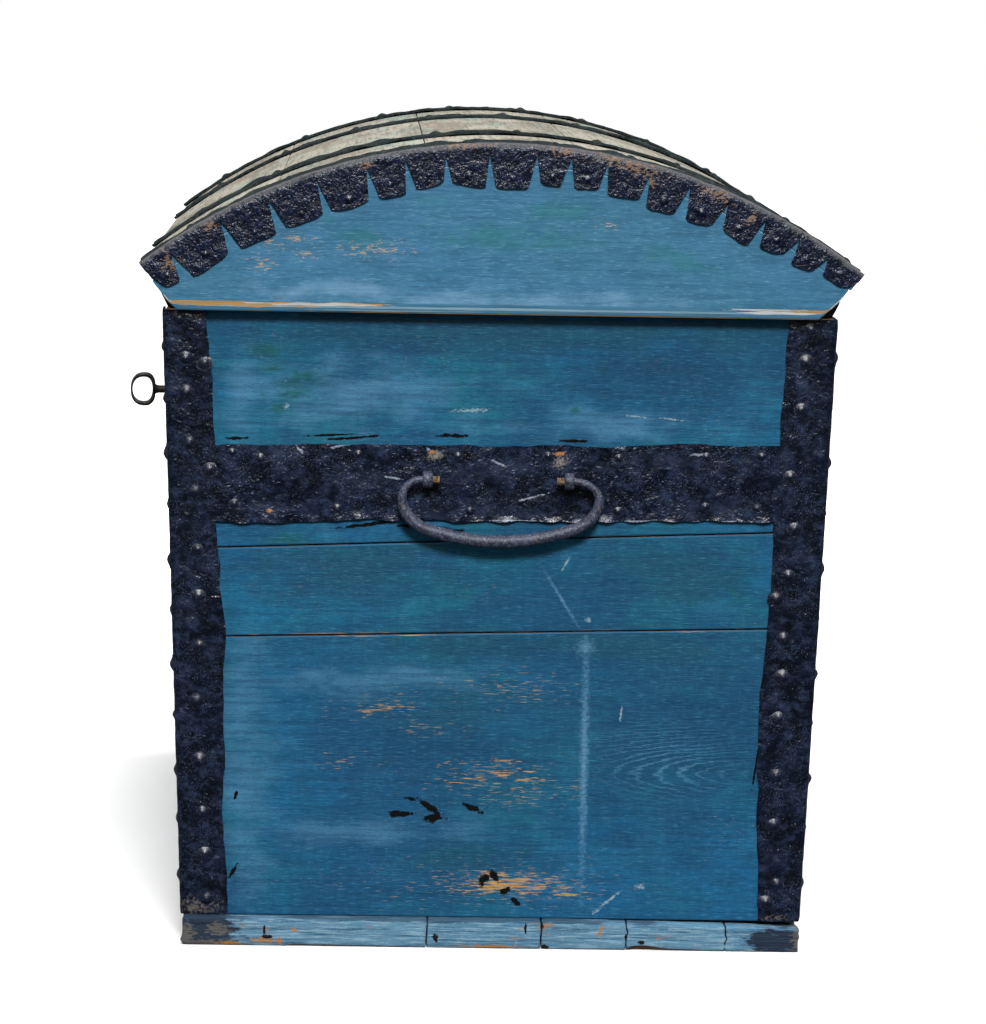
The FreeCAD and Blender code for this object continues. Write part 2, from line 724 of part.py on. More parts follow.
pitch = number("nail_pitch")
end_iron = number(END_FACE) + iron
heights = spread(number("batten_height") + head_margin, number("rim_height") - head_margin, pitch)
corner_nails = []
for index, height in enumerate(heights):
    across = side_at(height) + iron - number("corner_leg_end") / 2 + stagger * (-1) ** index
    corner_nails.append(nail_along((end_iron, across, height), ACROSS))
    corner_nails.append(nail_along((end_iron, -across, height), ACROSS))
for index, (below, above) in enumerate(zip(heights, heights[1:])):
    height = (below + above) / 2
    along = end_iron - number("corner_leg_side") / 2 + stagger * (-1) ** index
    surface = side_at(height) + iron
    corner_nails.append(nail_along((along, surface, height), side_normal))
    corner_nails.append(nail_along((along, -surface, height), front_normal))
corner_group = group("corner_nails", both_ends(corner_nails))

band_nails = []
for level in (number(BAND_LOW) + head_margin, number(BAND_HIGH) - head_margin):
    reach = number(band_end(BAND_LOW)) - head_margin
    for across in spread(-reach, reach, number("band_nail_pitch")):
        near_eye = abs(abs(across) - eye_half_spacing) < head_margin and level > bail_level
        if not near_eye:
            band_nails.append(nail_along((end_iron, across, level), ACROSS))
band_group = group("end_band_nails", both_ends(band_nails))

strap_middle = number("strap_spacing / 2")
front_nails = []
back_nails = []
for index, height in enumerate(heights):
    along = strap_middle + stagger * (-1) ** index
    surface = side_at(height) + iron
    if number(LEAF_FOOT) + head_margin <= height <= number(LEAF_TOP) - head_margin:
        back_nails.append(nail_along((along, surface, height), side_normal))
    front_nails.append(nail_along((along, -surface, height), front_normal))
front_group = group("front_band_nails", both_ends(front_nails))
back_group = group("back_strap_nails", both_ends(back_nails))

dome_level = number(DOME_CENTRE)
strap_radius = number(STRAP_RADIUS)
tip_degrees = number(TIP_ANGLE)
tab_radius = number(f"{TAB_ROOT} + tab_nail_inset")
tab_face = number(GABLE_FACE) + iron
tab_total = round(number("tab_count"))


def dome_nail(along, degrees):
    """A nail square to the dome, at an angle from its crown."""
    outward = Vector(0, math.sin(math.radians(degrees)), math.cos(math.radians(degrees)))
    point = Vector(along, 0, dome_level) + outward * strap_radius
    return nail_along(point, outward)


def tab_middle(tab):
    """The angle of a tab's middle from the crown."""
    return tip_degrees * ((2 * tab + 1) / tab_total - 1)


edge_nails = []
for tab in range(tab_total):
    degrees = tab_middle(tab)
    angle = math.radians(degrees)
    across = tab_radius * math.sin(angle)
    height = dome_level + tab_radius * math.cos(angle)
    edge_nails.append(nail_along((tab_face, across, height), ACROSS))
    if tab % 2:
        edge_nails.append(dome_nail(number(f"{GABLE_FACE} - strap_width / 2"), degrees))
edge_group = group("lid_edge_nails_right", edge_nails)
strap_nails = []
for tab in range(1, tab_total, 2):
    along = strap_middle + stagger * (-1) ** (tab // 2)
    strap_nails.append(dome_nail(along, tab_middle(tab)))
strap_group = group("lid_strap_nails", both_ends(strap_nails))

nodes += [edge_group, mirrored("lid_edge_nails_left", edge_group, ACROSS)]
nodes += [corner_group, band_group, front_group, back_group, strap_group]

# ---------------------------------------------------------------------------------------------
# Lock: built square to the leaning front, about the key's axis on the inside of the board
# ---------------------------------------------------------------------------------------------
TILT = f"atan({LEAN})"
PLATE_SEAT = f"(board_thickness * cos({TILT}))"
hole_level = f"({KEY_HEIGHT} - {LEAN} * board_thickness / 2)"
keyhole_radius = "(key_shank_radius + keyhole_clearance)"
slot_half = "(bit_thickness / 2 + keyhole_clearance)"
slot_reach = "(bit_radius + keyhole_clearance)"


def lock_body(label):
    body = new_body(label)
    body.Placement.Rotation = FreeCAD.Rotation(ACROSS, number(TILT))
    body.setExpression("Placement.Rotation.Angle", tied(TILT))
    body.setExpression("Placement.Base.y", tied(f"-{side_inner(KEY_HEIGHT)}"))
    body.setExpression("Placement.Base.z", tied(KEY_HEIGHT))
    return body


def rectangle(x_low, x_high, z_low, z_high):
    return [(x_low, z_low), (x_high, z_low), (x_high, z_high), (x_low, z_high)]


def keyhole(body, middle, level, offset):
    """A round hole with a slot below it for the bit."""
    barrel = circles(body, "keyhole_round_outline", (middle, level), [keyhole_radius], "XZ_Plane", offset)
    pocket(body, "keyhole_round", barrel)
    slot = rectangle(f"{middle} - {slot_half}", f"{middle} + {slot_half}", f"{level} - {slot_reach}", level)
    slot_sketch = profile(body, "keyhole_slot_outline", slot, plane="XZ_Plane", offset=offset)
    pocket(body, "keyhole_slot", slot_sketch)


keyhole(keyhole_board, END_FACE, hole_level, "2 * rim_half_depth")

lock_plate = lock_body("lock_plate")
plate_outline = rectangle("-plate_half_length", "plate_half_length",
                          "-plate_half_height", "plate_half_height")
plate_sketch = profile(lock_plate, "plate_outline", plate_outline, plane="XZ_Plane", offset=PLATE_SEAT)
pad(lock_plate, "plate_pad", plate_sketch, "iron_thickness")
keyhole(lock_plate, "0", "0", f"{PLATE_SEAT} + 2 * iron_thickness")

lock_case = lock_body("lock_case")
case_outline = rectangle("-case_half_length", "case_half_length", "-case_below_key", "case_above_key")
case_sketch = profile(lock_case, "case_outline", case_outline, plane="XZ_Plane")
pad(lock_case, "case_pad", case_sketch, "case_depth", reverse=True)
hollow_outline = rectangle("-case_half_length + case_wall", "case_half_length - case_wall",
                           "-case_below_key + case_wall", "case_above_key - case_wall")
hollow_sketch = profile(lock_case, "case_hollow_outline", hollow_outline, plane="XZ_Plane",
                        offset="case_wall")
hollow = pocket(lock_case, "case_hollow", hollow_sketch)
hollow.Type = "Length"
hollow.setExpression("Length", tied("case_depth"))
tip_hole = circles(lock_case, "key_tip_outline", ("0", "0"), ["(key_shank_radius + lock_play)"], "XZ_Plane")
pocket(lock_case, "key_tip_hole", tip_hole)
catch_slot = rectangle("catch_offset - catch_thickness / 2 - lock_play",
                       "catch_offset + catch_thickness / 2 + lock_play",
                       "-case_wall", "case_depth - 2 * case_wall")
slot_sketch = profile(lock_case, "catch_slot_outline", catch_slot, plane="XY_Plane",
                      offset="case_above_key / 2")
pocket(lock_case, "catch_slot", slot_sketch, reverse=True)

lock_bolt = lock_body("lock_bolt")
BAR_LOW = "(bolt_bar_level - bolt_bar_height / 2)"
BAR_HIGH = "(bolt_bar_level + bolt_bar_height / 2)"
TALON_LOW = "(bit_radius - bit_engagement)"
TALON_LEFT = "(-bolt_travel / 2 - talon_half_width)"
TALON_RIGHT = "(-bolt_travel / 2 + talon_half_width)"
BOLT_END = "(catch_offset - catch_thickness / 2 - bolt_rest_gap)"
bolt_outline = [
    (f"{TALON_LEFT} - talon_cheek", TALON_LOW),
    (TALON_LEFT, TALON_LOW),
    (TALON_LEFT, f"{TALON_LOW} + talon_depth"),
    (TALON_RIGHT, f"{TALON_LOW} + talon_depth"),
    (TALON_RIGHT, TALON_LOW),
    (f"{TALON_RIGHT} + talon_cheek", TALON_LOW),
    (f"{TALON_RIGHT} + talon_cheek", BAR_LOW),
    (BOLT_END, BAR_LOW),
    (BOLT_END, BAR_HIGH),
    (f"{TALON_LEFT} - talon_cheek", BAR_HIGH),
]
bolt_sketch = profile(lock_bolt, "bolt_outline", bolt_outline, plane="XZ_Plane", offset="-bolt_standoff")
pad(lock_bolt, "bolt_pad", bolt_sketch, "bolt_thickness", reverse=True)

key = lock_body("key")
BOW_CENTRE = "(board_thickness + key_projection - bow_outer_radius)"
shank_start = f"({BOW_CENTRE} - (bow_outer_radius + bow_inner_radius) / 2)"
shank_sketch = circles(key, "shank_outline", ("0", "0"), ["key_shank_radius"], "XZ_Plane", shank_start)
pad(key, "shank_pad", shank_sketch, f"{shank_start} + case_depth", reverse=True)
bow_sketch = circles(key, "bow_outline", (f"-{BOW_CENTRE}", "0"), ("bow_outer_radius", "bow_inner_radius"),
                     offset="-bow_thickness / 2")
pad(key, "bow_ring", bow_sketch, "bow_thickness")
bit_outline = rectangle("bit_start", "bit_start + bit_length", "-bit_radius", "-key_shank_radius / 2")
pad(key, "bit_pad", profile(key, "bit_outline", bit_outline, offset="-bit_thickness / 2"), "bit_thickness")

# The catch is nailed to the inside of the front rail; its lug hangs into the lock for the bolt.
catch = new_body("lid_catch", "catch_offset")
plate_low = LID_FOOT
catch_plate = [
    (f"-{RAIL_INNER}", plate_low),
    (f"-{RAIL_INNER} + catch_plate_thickness", plate_low),
    (f"-{RAIL_INNER} + catch_plate_thickness", f"{plate_low} + catch_plate_height"),
    (f"-{RAIL_INNER}", f"{plate_low} + catch_plate_height"),
]
plate_sketch = profile(catch, "catch_plate_outline", catch_plate, offset="-catch_plate_length / 2")
pad(catch, "catch_plate_pad", plate_sketch, "catch_plate_length")
HOLE_HALF = "(bolt_bar_height / 2 + lock_play)"
HOLE_LEVEL = f"({KEY_HEIGHT} + bolt_bar_level * cos({TILT}))"
LUG_OUTER = f"(-{RAIL_INNER} + catch_step)"
LUG_FOOT = f"({HOLE_LEVEL} - {HOLE_HALF} - catch_edge)"
lug_outline = [
    (LUG_OUTER, LUG_FOOT),
    (f"{LUG_OUTER} + catch_width", LUG_FOOT),
    (f"{LUG_OUTER} + catch_width", f"{plate_low} + catch_plate_height"),
    (LUG_OUTER, f"{plate_low} + catch_plate_height"),
]
pad(catch, "catch_lug_pad", profile(catch, "catch_lug_outline", lug_outline, offset="-catch_thickness / 2"),
    "catch_thickness")
BOLT_FACE = f"(-{side_inner(HOLE_LEVEL)} + bolt_standoff)"
window = [
    (f"{BOLT_FACE} - lock_play", f"{HOLE_LEVEL} - {HOLE_HALF}"),
    (f"{BOLT_FACE} + bolt_thickness + lock_play", f"{HOLE_LEVEL} - {HOLE_HALF}"),
    (f"{BOLT_FACE} + bolt_thickness + lock_play", f"{HOLE_LEVEL} + {HOLE_HALF}"),
    (f"{BOLT_FACE} - lock_play", f"{HOLE_LEVEL} + {HOLE_HALF}"),
]
window_sketch = profile(catch, "catch_window_outline", window, offset="catch_thickness")
pocket(catch, "catch_window", window_sketch)
nodes += [lock_plate, lock_case, lock_bolt, key, catch]

# ---------------------------------------------------------------------------------------------
# Recompute, check every object and write one STEP file per piece
# ---------------------------------------------------------------------------------------------
doc.recompute()
for thing in doc.Objects:
    if {"Invalid", "Error"} & set(thing.State):
        raise RuntimeError(f"{thing.Label} did not recompute: {thing.State}")
for node in nodes:
    if node.Shape.isNull() or not node.Shape.isValid():
        raise RuntimeError(f"{node.Label} has no valid shape")

os.makedirs("parts", exist_ok=True)
for node in nodes:
    node.Shape.exportStep(f"parts/{node.Label}.step")
print(f"{len(nodes)} pieces written")
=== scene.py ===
"""Looks of the blanket chest: dome-lidded, blue-painted pine bound with black wrought iron.

Metres; +X along the chest, -Y to the lock side, +Z up, origin on the floor under the middle.
"""
import math
import random

import bmesh
import bpy
from mathutils import Matrix, Vector, noise


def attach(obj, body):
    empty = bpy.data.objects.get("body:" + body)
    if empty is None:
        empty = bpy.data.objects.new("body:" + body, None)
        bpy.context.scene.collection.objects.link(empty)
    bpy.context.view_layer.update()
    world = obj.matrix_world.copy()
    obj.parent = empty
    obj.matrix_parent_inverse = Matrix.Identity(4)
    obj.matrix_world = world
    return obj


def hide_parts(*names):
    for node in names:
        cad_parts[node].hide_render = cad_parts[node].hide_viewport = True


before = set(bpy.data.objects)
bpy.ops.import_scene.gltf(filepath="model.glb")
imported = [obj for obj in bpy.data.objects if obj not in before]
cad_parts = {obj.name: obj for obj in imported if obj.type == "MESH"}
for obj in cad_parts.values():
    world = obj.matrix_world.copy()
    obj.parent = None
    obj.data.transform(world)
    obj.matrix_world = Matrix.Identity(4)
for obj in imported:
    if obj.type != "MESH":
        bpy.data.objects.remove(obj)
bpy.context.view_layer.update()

# ---------------------------------------------------------------------------------------------
# Boards of the carcase.  Slow-grown pine, three boards to a side, butted and nailed under the
# iron.  Outside they carry one thin coat of blue milk paint, rubbed and sunk into the grain; the
# inside was never painted and has gone brown.
# ---------------------------------------------------------------------------------------------


def srgb(code):
    """A hex colour as linear red, green, blue and alpha."""
    parts = [int(code[i:i + 2], 16) / 255 for i in (1, 3, 5)]
    return [c / 12.92 if c <= 0.04045 else ((c + 0.055) / 1.055) ** 2.4 for c in parts] + [1.0]


def add(tree, kind, *values, **named):
    """One shader node.  The values fill its live sockets in order; a named one is a socket when
    it has a capital and a setting when it has none.  Gives back the node's first live output."""
    made = tree.nodes.new("ShaderNode" + kind)
    for name, value in named.items():
        if name[0].islower():
            setattr(made, name, value)
    filled = list(zip([socket for socket in made.inputs if socket.enabled], values))
    filled += [(made.inputs[name.replace("_", " ")], value) for name, value in named.items()
               if name[0].isupper()]
    for socket, value in filled:
        if isinstance(value, bpy.types.NodeSocket):
            tree.links.new(value, socket)
        else:
            socket.default_value = value
    return next((socket for socket in made.outputs if socket.enabled), None)


def laid_up(name, along, ground, roughness, layers, specular=0.3, metallic=0.0):
    """A finish laid up layer over layer on its ground colour.  A layer is a noise with blots size
    mm across, drawn out so many times along the grain, that shows where it passes its band, and
    only inside patches or near marks if it has those; it brings a colour, a roughness and a
    relief in mm.  Marks are ellipses on an end, in mm: y, z, half length, half width, degrees."""
    finish = bpy.data.materials.new(name)
    finish.use_nodes = True
    tree = finish.node_tree
    tree.nodes.clear()
    place = add(tree, "TexCoord").node.outputs["Object"]
    colour, rough, height = srgb(ground), roughness, None
    for number, layer in enumerate(layers):
        size = layer["size"] / 1000
        spread = [size * (layer.get("drawn", 1) if axis == along else 1) for axis in "XYZ"]
        where = add(tree, "Mapping", place, vector_type="TEXTURE", Scale=spread,
                    Location=(0, *layer.get("centre", (1.13 * number, 0.71 * number))),
                    Rotation=(math.radians(layer.get("turn", 0)), 0, 0))
        shows = add(tree, layer.get("kind", "TexNoise"), where, Scale=1.0, **layer.get(
            "node", dict(Detail=layer.get("detail", 3), Roughness=0.6)))
        if "marks" in layer:
            near = None
            for y, z, half_long, half_wide, turn in layer["marks"]:
                inside = add(tree, "Mapping", place, vector_type="TEXTURE",
                             Location=(0, y / 1000, z / 1000), Rotation=(math.radians(turn), 0, 0),
                             Scale=(100, half_long / 1000, half_wide / 1000))
                far = add(tree, "VectorMath", inside, operation="LENGTH")
                near = far if near is None else add(tree, "Math", near, far, operation="MINIMUM")
            fall = add(tree, "Math", near, -1.0, 1.0, operation="MULTIPLY_ADD")
            shows = add(tree, "Math", fall, layer.get("lift", 0.5), shows, operation="MULTIPLY_ADD")
        share = layer.get("share", 1.0)
        shows = add(tree, "MapRange", shows, *layer["band"], 0.0, share,
                    interpolation_type="SMOOTHSTEP")
        if "patches" in layer:
            breadth, low, high = layer["patches"]
            spot = add(tree, "Mapping", place, vector_type="TEXTURE",
                       Location=(0.91 * number, 0.47 * number, 1.31 * number),
                       Scale=[breadth / 1000 * (2 if axis == along else 1) for axis in "XYZ"])
            patch = add(tree, "TexNoise", spot, Scale=1.0, Detail=2.0)
            patch = add(tree, "MapRange", patch, low, high, interpolation_type="SMOOTHSTEP")
            shows = add(tree, "Math", shows, patch, operation="MULTIPLY")
        if "colour" in layer:
            colour = add(tree, "Mix", shows, colour, srgb(layer["colour"]), data_type="RGBA")
        if "rough" in layer:
            rough = add(tree, "Mix", shows, rough, layer["rough"])
        if "relief" in layer:
            height = add(tree, "Math", shows, layer["relief"] / share, height or 0.0,
                         operation="MULTIPLY_ADD")
    shader = add(tree, "BsdfPrincipled", Base_Color=colour, Roughness=rough, Metallic=metallic,
                 Specular_IOR_Level=specular,
                 Normal=add(tree, "Bump", Strength=1.0, Distance=0.001, Height=height))
    add(tree, "OutputMaterial", shader)
    return finish


# Blue milk paint: one thin dead-flat coat, greener where it is thick and chalky where hands and
# damp have rubbed it; the latewood shows as darker lines and the fibres as pale dashes.
PAINT_CLOUDS = [
    dict(size=130, drawn=1.5, band=(0.40, 0.60), colour="#08606e", share=0.80, detail=8),
    dict(size=90, drawn=1.6, band=(0.44, 0.58), colour="#054369", share=0.80, detail=8),
    dict(size=60, drawn=1.2, band=(0.50, 0.74), colour="#2a7594", share=0.62, detail=9),
    dict(size=12, drawn=1.8, band=(0.40, 0.68), colour="#0b4a66", share=0.55, detail=7),
]
PAINT_GRAIN = [
    dict(size=4.5, drawn=18, band=(0.38, 0.72), colour="#06375a", share=0.55, relief=-0.16, detail=4),
    dict(size=2.6, drawn=6, turn=90, band=(0.46, 0.80), colour="#3a7b98", share=0.11, detail=6),
    dict(size=1.1, drawn=9, band=(0.48, 0.80), colour="#4493b5", share=0.40, relief=0.06, detail=4),
    dict(size=0.9, drawn=4, band=(0.48, 0.78), colour="#0a3048", share=0.60, relief=-0.08),
    dict(size=0.9, drawn=6, band=(0.62, 0.72), colour="#a98a70", share=0.45,
         patches=(50, 0.52, 0.66)),
    dict(size=1.7, drawn=2.5, band=(0.75, 0.79), colour="#a9c3cc", share=0.45,
         patches=(110, 0.48, 0.60)),
    dict(size=1.8, drawn=1.2, band=(0.76, 0.80), colour="#08202e", share=0.6),
]
# Wear and painted shade of the right end alone: chalky and mossy patches, painted shadow of the lid along
# the top board with a painted lighter patch below it; then pine showing in rubbed streaks low down, black
# spills, the run of pale water to the foot, and cathedral grain by the hinge side.
MOSSY_PAINT = dict(size=8, drawn=2.2, band=(0.50, 0.84), colour="#0f5558", share=0.75, lift=0.30, detail=6,
                   marks=((-196, 500, 14, 6, 0), (-176, 489, 34, 10, 12), (-180, 478, 22, 6, 12),
                          (-190, 466, 9, 6, 0), (66, 468, 6, 5, 0), (203, 314, 13, 4, -40),
                          (-180, 352, 20, 12, 0), (-62, 349, 50, 6, 0), (-205, 515, 20, 8, 0)))
END_CLOUDS_AND_LID_SHADE = [
    # The patch at y -130, z 478 in this cloud is painted light: the top board lighter below the lid's
    # shade.
    dict(size=20, drawn=2.4, band=(0.44, 0.92), colour="#4d83a4", share=0.76, lift=0.36, detail=10,
         marks=((-130, 478, 130, 34, 0), (-222, 478, 48, 20, 90), (-214, 170, 150, 34, 90),
                (-100, 232, 120, 16, 4), (-110, 100, 130, 16, 3), (90, 455, 90, 16, 0))),
    # The bands at z 533 and z 505 in this cloud are painted shadow of the lid's edge, darker toward the
    # hinge side.
    dict(size=18, drawn=2.6, band=(0.40, 0.82), colour="#043f5c", share=0.82, lift=0.32, detail=10,
         marks=((60, 262, 210, 18, 0), (-30, 168, 90, 34, 0), (160, 190, 100, 90, 0),
                (-130, 330, 80, 30, 0), (-20, 76, 70, 14, 4), (170, 330, 80, 34, 0),
                (0, 533, 270, 22, 0), (150, 505, 130, 30, 0))),
    MOSSY_PAINT,
    dict(size=70, drawn=1.8, band=(0.20, 0.62), colour="#043c62", share=0.30, lift=0.3, detail=7,
         marks=((0, 150, 330, 160, 0),)),
    # The band at z 535 in this cloud is painted shadow of the lid's edge.
    dict(size=30, drawn=2.0, band=(0.40, 0.74), colour="#0e4a60", share=0.72, lift=0.30, detail=8,
         marks=((0, 262, 70, 14, 0), (110, 262, 120, 20, 0), (-20, 205, 80, 22, 0),
                (-130, 330, 80, 30, 0), (-20, 80, 60, 14, 4), (150, 330, 60, 30, 0),
                (0, 535, 260, 16, 0))),
    MOSSY_PAINT,
]
END_MARKS = [
    dict(kind="TexWave", size=9, drawn=6.5, centre=(0.262, 0.152), band=(1.02, 1.40), lift=0.42,
         colour="#5f96b2", share=0.34, marks=((150, 165, 100, 60, 0),),
         node=dict(wave_type="RINGS", rings_direction="X", Distortion=8.0, Detail=5.0,
                   Detail_Scale=0.9, Detail_Roughness=0.75)),
    dict(size=2.4, drawn=1.5, band=(0.40, 1.15), colour="#6f9fc0", share=0.55, lift=0.45,
         marks=((78.8, 165, 130, 4.6, 90), (57, 303, 36, 1.8, -58), (78, 262, 10, 9, 30))),
    dict(size=1.1, drawn=11, band=(0.63, 0.71), colour="#9d8a66", share=0.62, lift=0.10, rough=0.8,
         marks=((-95, 209, 55, 13, 6), (-5, 152, 56, 16, 8), (-60, 190, 40, 9, 0),
                (20, 128, 60, 12, 0), (10, 54, 110, 22, 0), (-130, 160, 28, 8, 12),
                (62, 140, 30, 8, 0), (20, 225, 70, 14, 0))),
    dict(size=1.3, drawn=10, band=(0.645, 0.70), colour="#ab8755", share=0.80, lift=0.13, rough=0.8,
         marks=((-97, 206, 34, 6, 10), (-10, 150, 40, 8, 8), (8, 143, 44, 5, 6), (34, 137, 30, 4, 0),
                (-46, 158, 20, 3, 8), (16, 52, 74, 13, 0))),
    dict(size=1.4, drawn=9, band=(0.60, 0.68), colour="#b68c50", share=0.85, lift=0.20, rough=0.8,
         marks=((14, 53, 46, 9, 2), (-4, 60, 26, 5, 4), (8, 162, 15, 1.6, 0),
                (12, 150, 14, 2.0, 12), (34, 153, 9, 2.2, 0), (-20, 146, 12, 1.4, 6),
                (72, 46, 20, 5, 0))),
    dict(size=4.0, drawn=1.6, band=(0.52, 0.66), colour="#000203", share=1.0, lift=0.45, rough=1.0,
         marks=((-81, 114, 15, 3.4, 0), (-54, 120, 16, 3.6, -33), (-52, 111, 9, 4.5, 0),
                (-17, 120, 11, 3.0, -28), (-72, 128, 6, 2.0, -15), (-222.8, 128.7, 4.5, 1.8, 78),
                (-6, 58, 8, 4.2, 50), (2, 61, 8, 3.6, -45), (12, 48, 6, 3.4, 20),
                (22, 38, 6, 3, -30), (-225, 439, 12, 1.8, 3), (-125, 441, 30, 1.6, 5),
                (-145, 443, 24, 1.2, 3), (-40, 444, 16, 2.0, 0), (64, 441, 14, 1.6, 0),
                (-112, 366, 30, 2.0, 8), (-60, 364, 34, 2.0, -4), (-224, 62, 10, 2.0, 60),
                (228, 160, 22, 1.4, 82))),
    dict(size=1.6, drawn=1.6, band=(0.50, 0.78), colour="#94afba", share=0.65, lift=0.30, detail=5,
         marks=((102, 40, 17, 1.5, 38), (128.3, 52.6, 6, 3.0, 0), (92, 30.5, 5, 1.3, 35),
                (-25, 466, 19, 2.2, 2), (80, 286, 3, 3, 0), (118, 463, 12, 1.2, -6),
                (150, 461, 14, 1.1, -6), (-183, 467, 3, 3, 0), (110, 205, 8, 1.2, 85),
                (60, 335, 9, 1.3, 60))),
]


def as_piece(name, made, finishes, body, replaced, smooth=None):
    """A finished bmesh made an object at the origin, riding on its body."""
    mesh = bpy.data.meshes.new(name)
    made.to_mesh(mesh)
    made.free()
    for finish in finishes:
        mesh.materials.append(finish)
    if smooth is not None:
        mesh.shade_smooth()
        mesh.set_sharp_from_angle(angle=math.radians(smooth))
    piece = bpy.data.objects.new(name, mesh)
    bpy.context.scene.collection.objects.link(piece)
    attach(piece, body)
    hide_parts(*replaced)


def whole(made):
    """All that a bmesh is made of, as cutting it asks for."""
    return made.verts[:] + made.edges[:] + made.faces[:]


def eased(made, angle, width):
    """Rounds every arris turned by more than an angle in radians; gives back the new faces."""
    sharp = [edge for edge in made.edges if len(edge.link_faces) == 2 and edge.calc_face_angle() > angle]
    rounded = bmesh.ops.bevel(made, geom=sharp, offset=width, offset_type="OFFSET", affect="EDGES",
                              segments=2, profile=0.5, material=-1, clamp_overlap=True)
    return rounded["faces"]


def planed(node, outward, arris=0.0012, blunt=()):
    """A copy of a sawn piece: triangles merged, outer face marked, corners cut off at the blunt
    planes (point, direction) and arrises rounded by wear.  Faces get finish 0 outside, 1
    elsewhere and 2 on the arrises."""
    made = bmesh.new()
    made.from_mesh(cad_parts[node].data)
    bmesh.ops.remove_doubles(made, verts=made.verts, dist=1e-5)
    bmesh.ops.dissolve_limit(made, angle_limit=math.radians(1.0), verts=made.verts, edges=made.edges)
    for face in made.faces:
        face.material_index = 0 if outward(face.normal, face.calc_center_median()) else 1
    for point, direction in blunt:
        cut = bmesh.ops.bisect_plane(made, geom=whole(made), plane_co=point, plane_no=direction,
                                     clear_outer=True, dist=1e-6)
        rim = [part for part in cut["geom_cut"] if isinstance(part, bmesh.types.BMEdge)]
        for face in bmesh.ops.edgenet_fill(made, edges=rim)["faces"]:
            face.material_index = 2
    for face in eased(made, 0.45, arris):
        face.material_index = 2
    return made


# Bare pine: planed once, never painted, browned by age and dust.
BARE_PINE = [
    dict(size=110, drawn=3, band=(0.38, 0.62), colour="#a98158", share=0.8),
    dict(size=3.6, drawn=26, band=(0.42, 0.66), colour="#6d4a2c", share=0.6, relief=-0.14, detail=4),
    dict(size=1.1, drawn=14, band=(0.52, 0.74), colour="#bd9a70", share=0.4, relief=0.05),
    dict(size=14, drawn=1.5, band=(0.62, 0.75), colour="#4d3826", share=0.5),
]
# Rubbed arris: painted with the board, worn to brown pine along the low board's upper joint.
WORN_ARRIS = [
    dict(size=3.4, drawn=20, band=(0.42, 0.66), colour="#17455f", share=0.6, relief=-0.1),
    dict(size=2.6, drawn=16, band=(0.52, 0.64), colour="#a5825c", share=0.85, lift=0.14,
         marks=((-110, 290, 150, 26, 3), (150, 296, 60, 20, 3))),
    dict(size=1.4, drawn=6, band=(0.60, 0.70), colour="#20303a", share=0.6),
]
MILK_BLUE = "#0a5f8a"
# Each board of the right end has a paint of its own, with only the marks that lie on that board.
end_paints = {}
for course, low, high in (("low", 0, 300), ("middle", 250, 380), ("top", 335, 560)):
    layers = [dict(layer, marks=[mark for mark in layer["marks"] if low < mark[1] < high])
              if "marks" in layer else layer
              for layer in PAINT_CLOUDS + END_CLOUDS_AND_LID_SHADE + PAINT_GRAIN + END_MARKS]
    end_paints[course] = laid_up(f"milk_paint_on_{course}_end_board", "Y", MILK_BLUE, 0.7,
                                 [layer for layer in layers if layer.get("marks", True)], 0.15)
across_paint = laid_up("milk_paint_on_pine_across", "Y", MILK_BLUE, 0.7,
                       PAINT_CLOUDS + PAINT_GRAIN, 0.15)
long_paint = laid_up("milk_paint_on_pine_along", "X", MILK_BLUE, 0.7, PAINT_CLOUDS + PAINT_GRAIN, 0.15)
pine_across = laid_up("bare_pine_across", "Y", "#8c6642", 0.75, BARE_PINE)
pine_along = laid_up("bare_pine_along", "X", "#8c6642", 0.75, BARE_PINE)
arris_across = laid_up("worn_pine_arris_across", "Y", "#1f5a7c", 0.7, WORN_ARRIS, 0.15)
arris_along = laid_up("worn_pine_arris_along", "X", "#1f5a7c", 0.7, WORN_ARRIS, 0.15)

for course in ("low", "middle", "top"):
    for side, sign, paint in (("right", 1, end_paints[course]), ("left", -1, across_paint)):
        node = f"end_board_{side}_{course}"
        board = planed(node, lambda normal, centre: normal.x * sign > 0.9)
        as_piece(f"{node}_planed", board, (paint, pine_across, arris_across), "chest_body",
                 (node,))
    for side, sign in (("front", -1), ("back", 1)):
        node = f"{side}_board_{course}"
        board = planed(node, lambda normal, centre: normal.y * sign > 0.9)
        as_piece(f"{node}_planed", board, (long_paint, pine_along, arris_along), "chest_body",
                 (node,))
for place in ("front", "middle", "back"):
    node = f"bottom_board_{place}"
    board = planed(node, lambda normal, centre: False)
    as_piece(f"{node}_planed", board, (pine_along,) * 3, "chest_body", (node,))

# ---------------------------------------------------------------------------------------------
# Foot battens.  Three pine battens nailed across the underside; the two at the ends stand out
# past the boards and have split along the grain where the damp floor took them.
# ---------------------------------------------------------------------------------------------


def through(points, where):
    """Straight-line interpolation through (place, value) points."""
    for (low, first), (high, last) in zip(points, points[1:]):
        if where <= high:
            share = min(max((where - low) / (high - low), 0.0), 1.0)
            return first + (last - first) * share
    return points[-1][1]


def mirror_across(made, flip):
    """Turns a right-hand piece into its left-hand twin."""
    if flip:
        bmesh.ops.scale(made, vec=(-1, 1, 1), verts=made.verts)
        bmesh.ops.reverse_faces(made, faces=made.faces)


def join_on(made, part):
    """Adds a part that was modelled by itself to a piece."""
    mesh = bpy.data.meshes.new("part")
    part.to_mesh(mesh)
    part.free()
    made.from_mesh(mesh)
    bpy.data.meshes.remove(mesh)
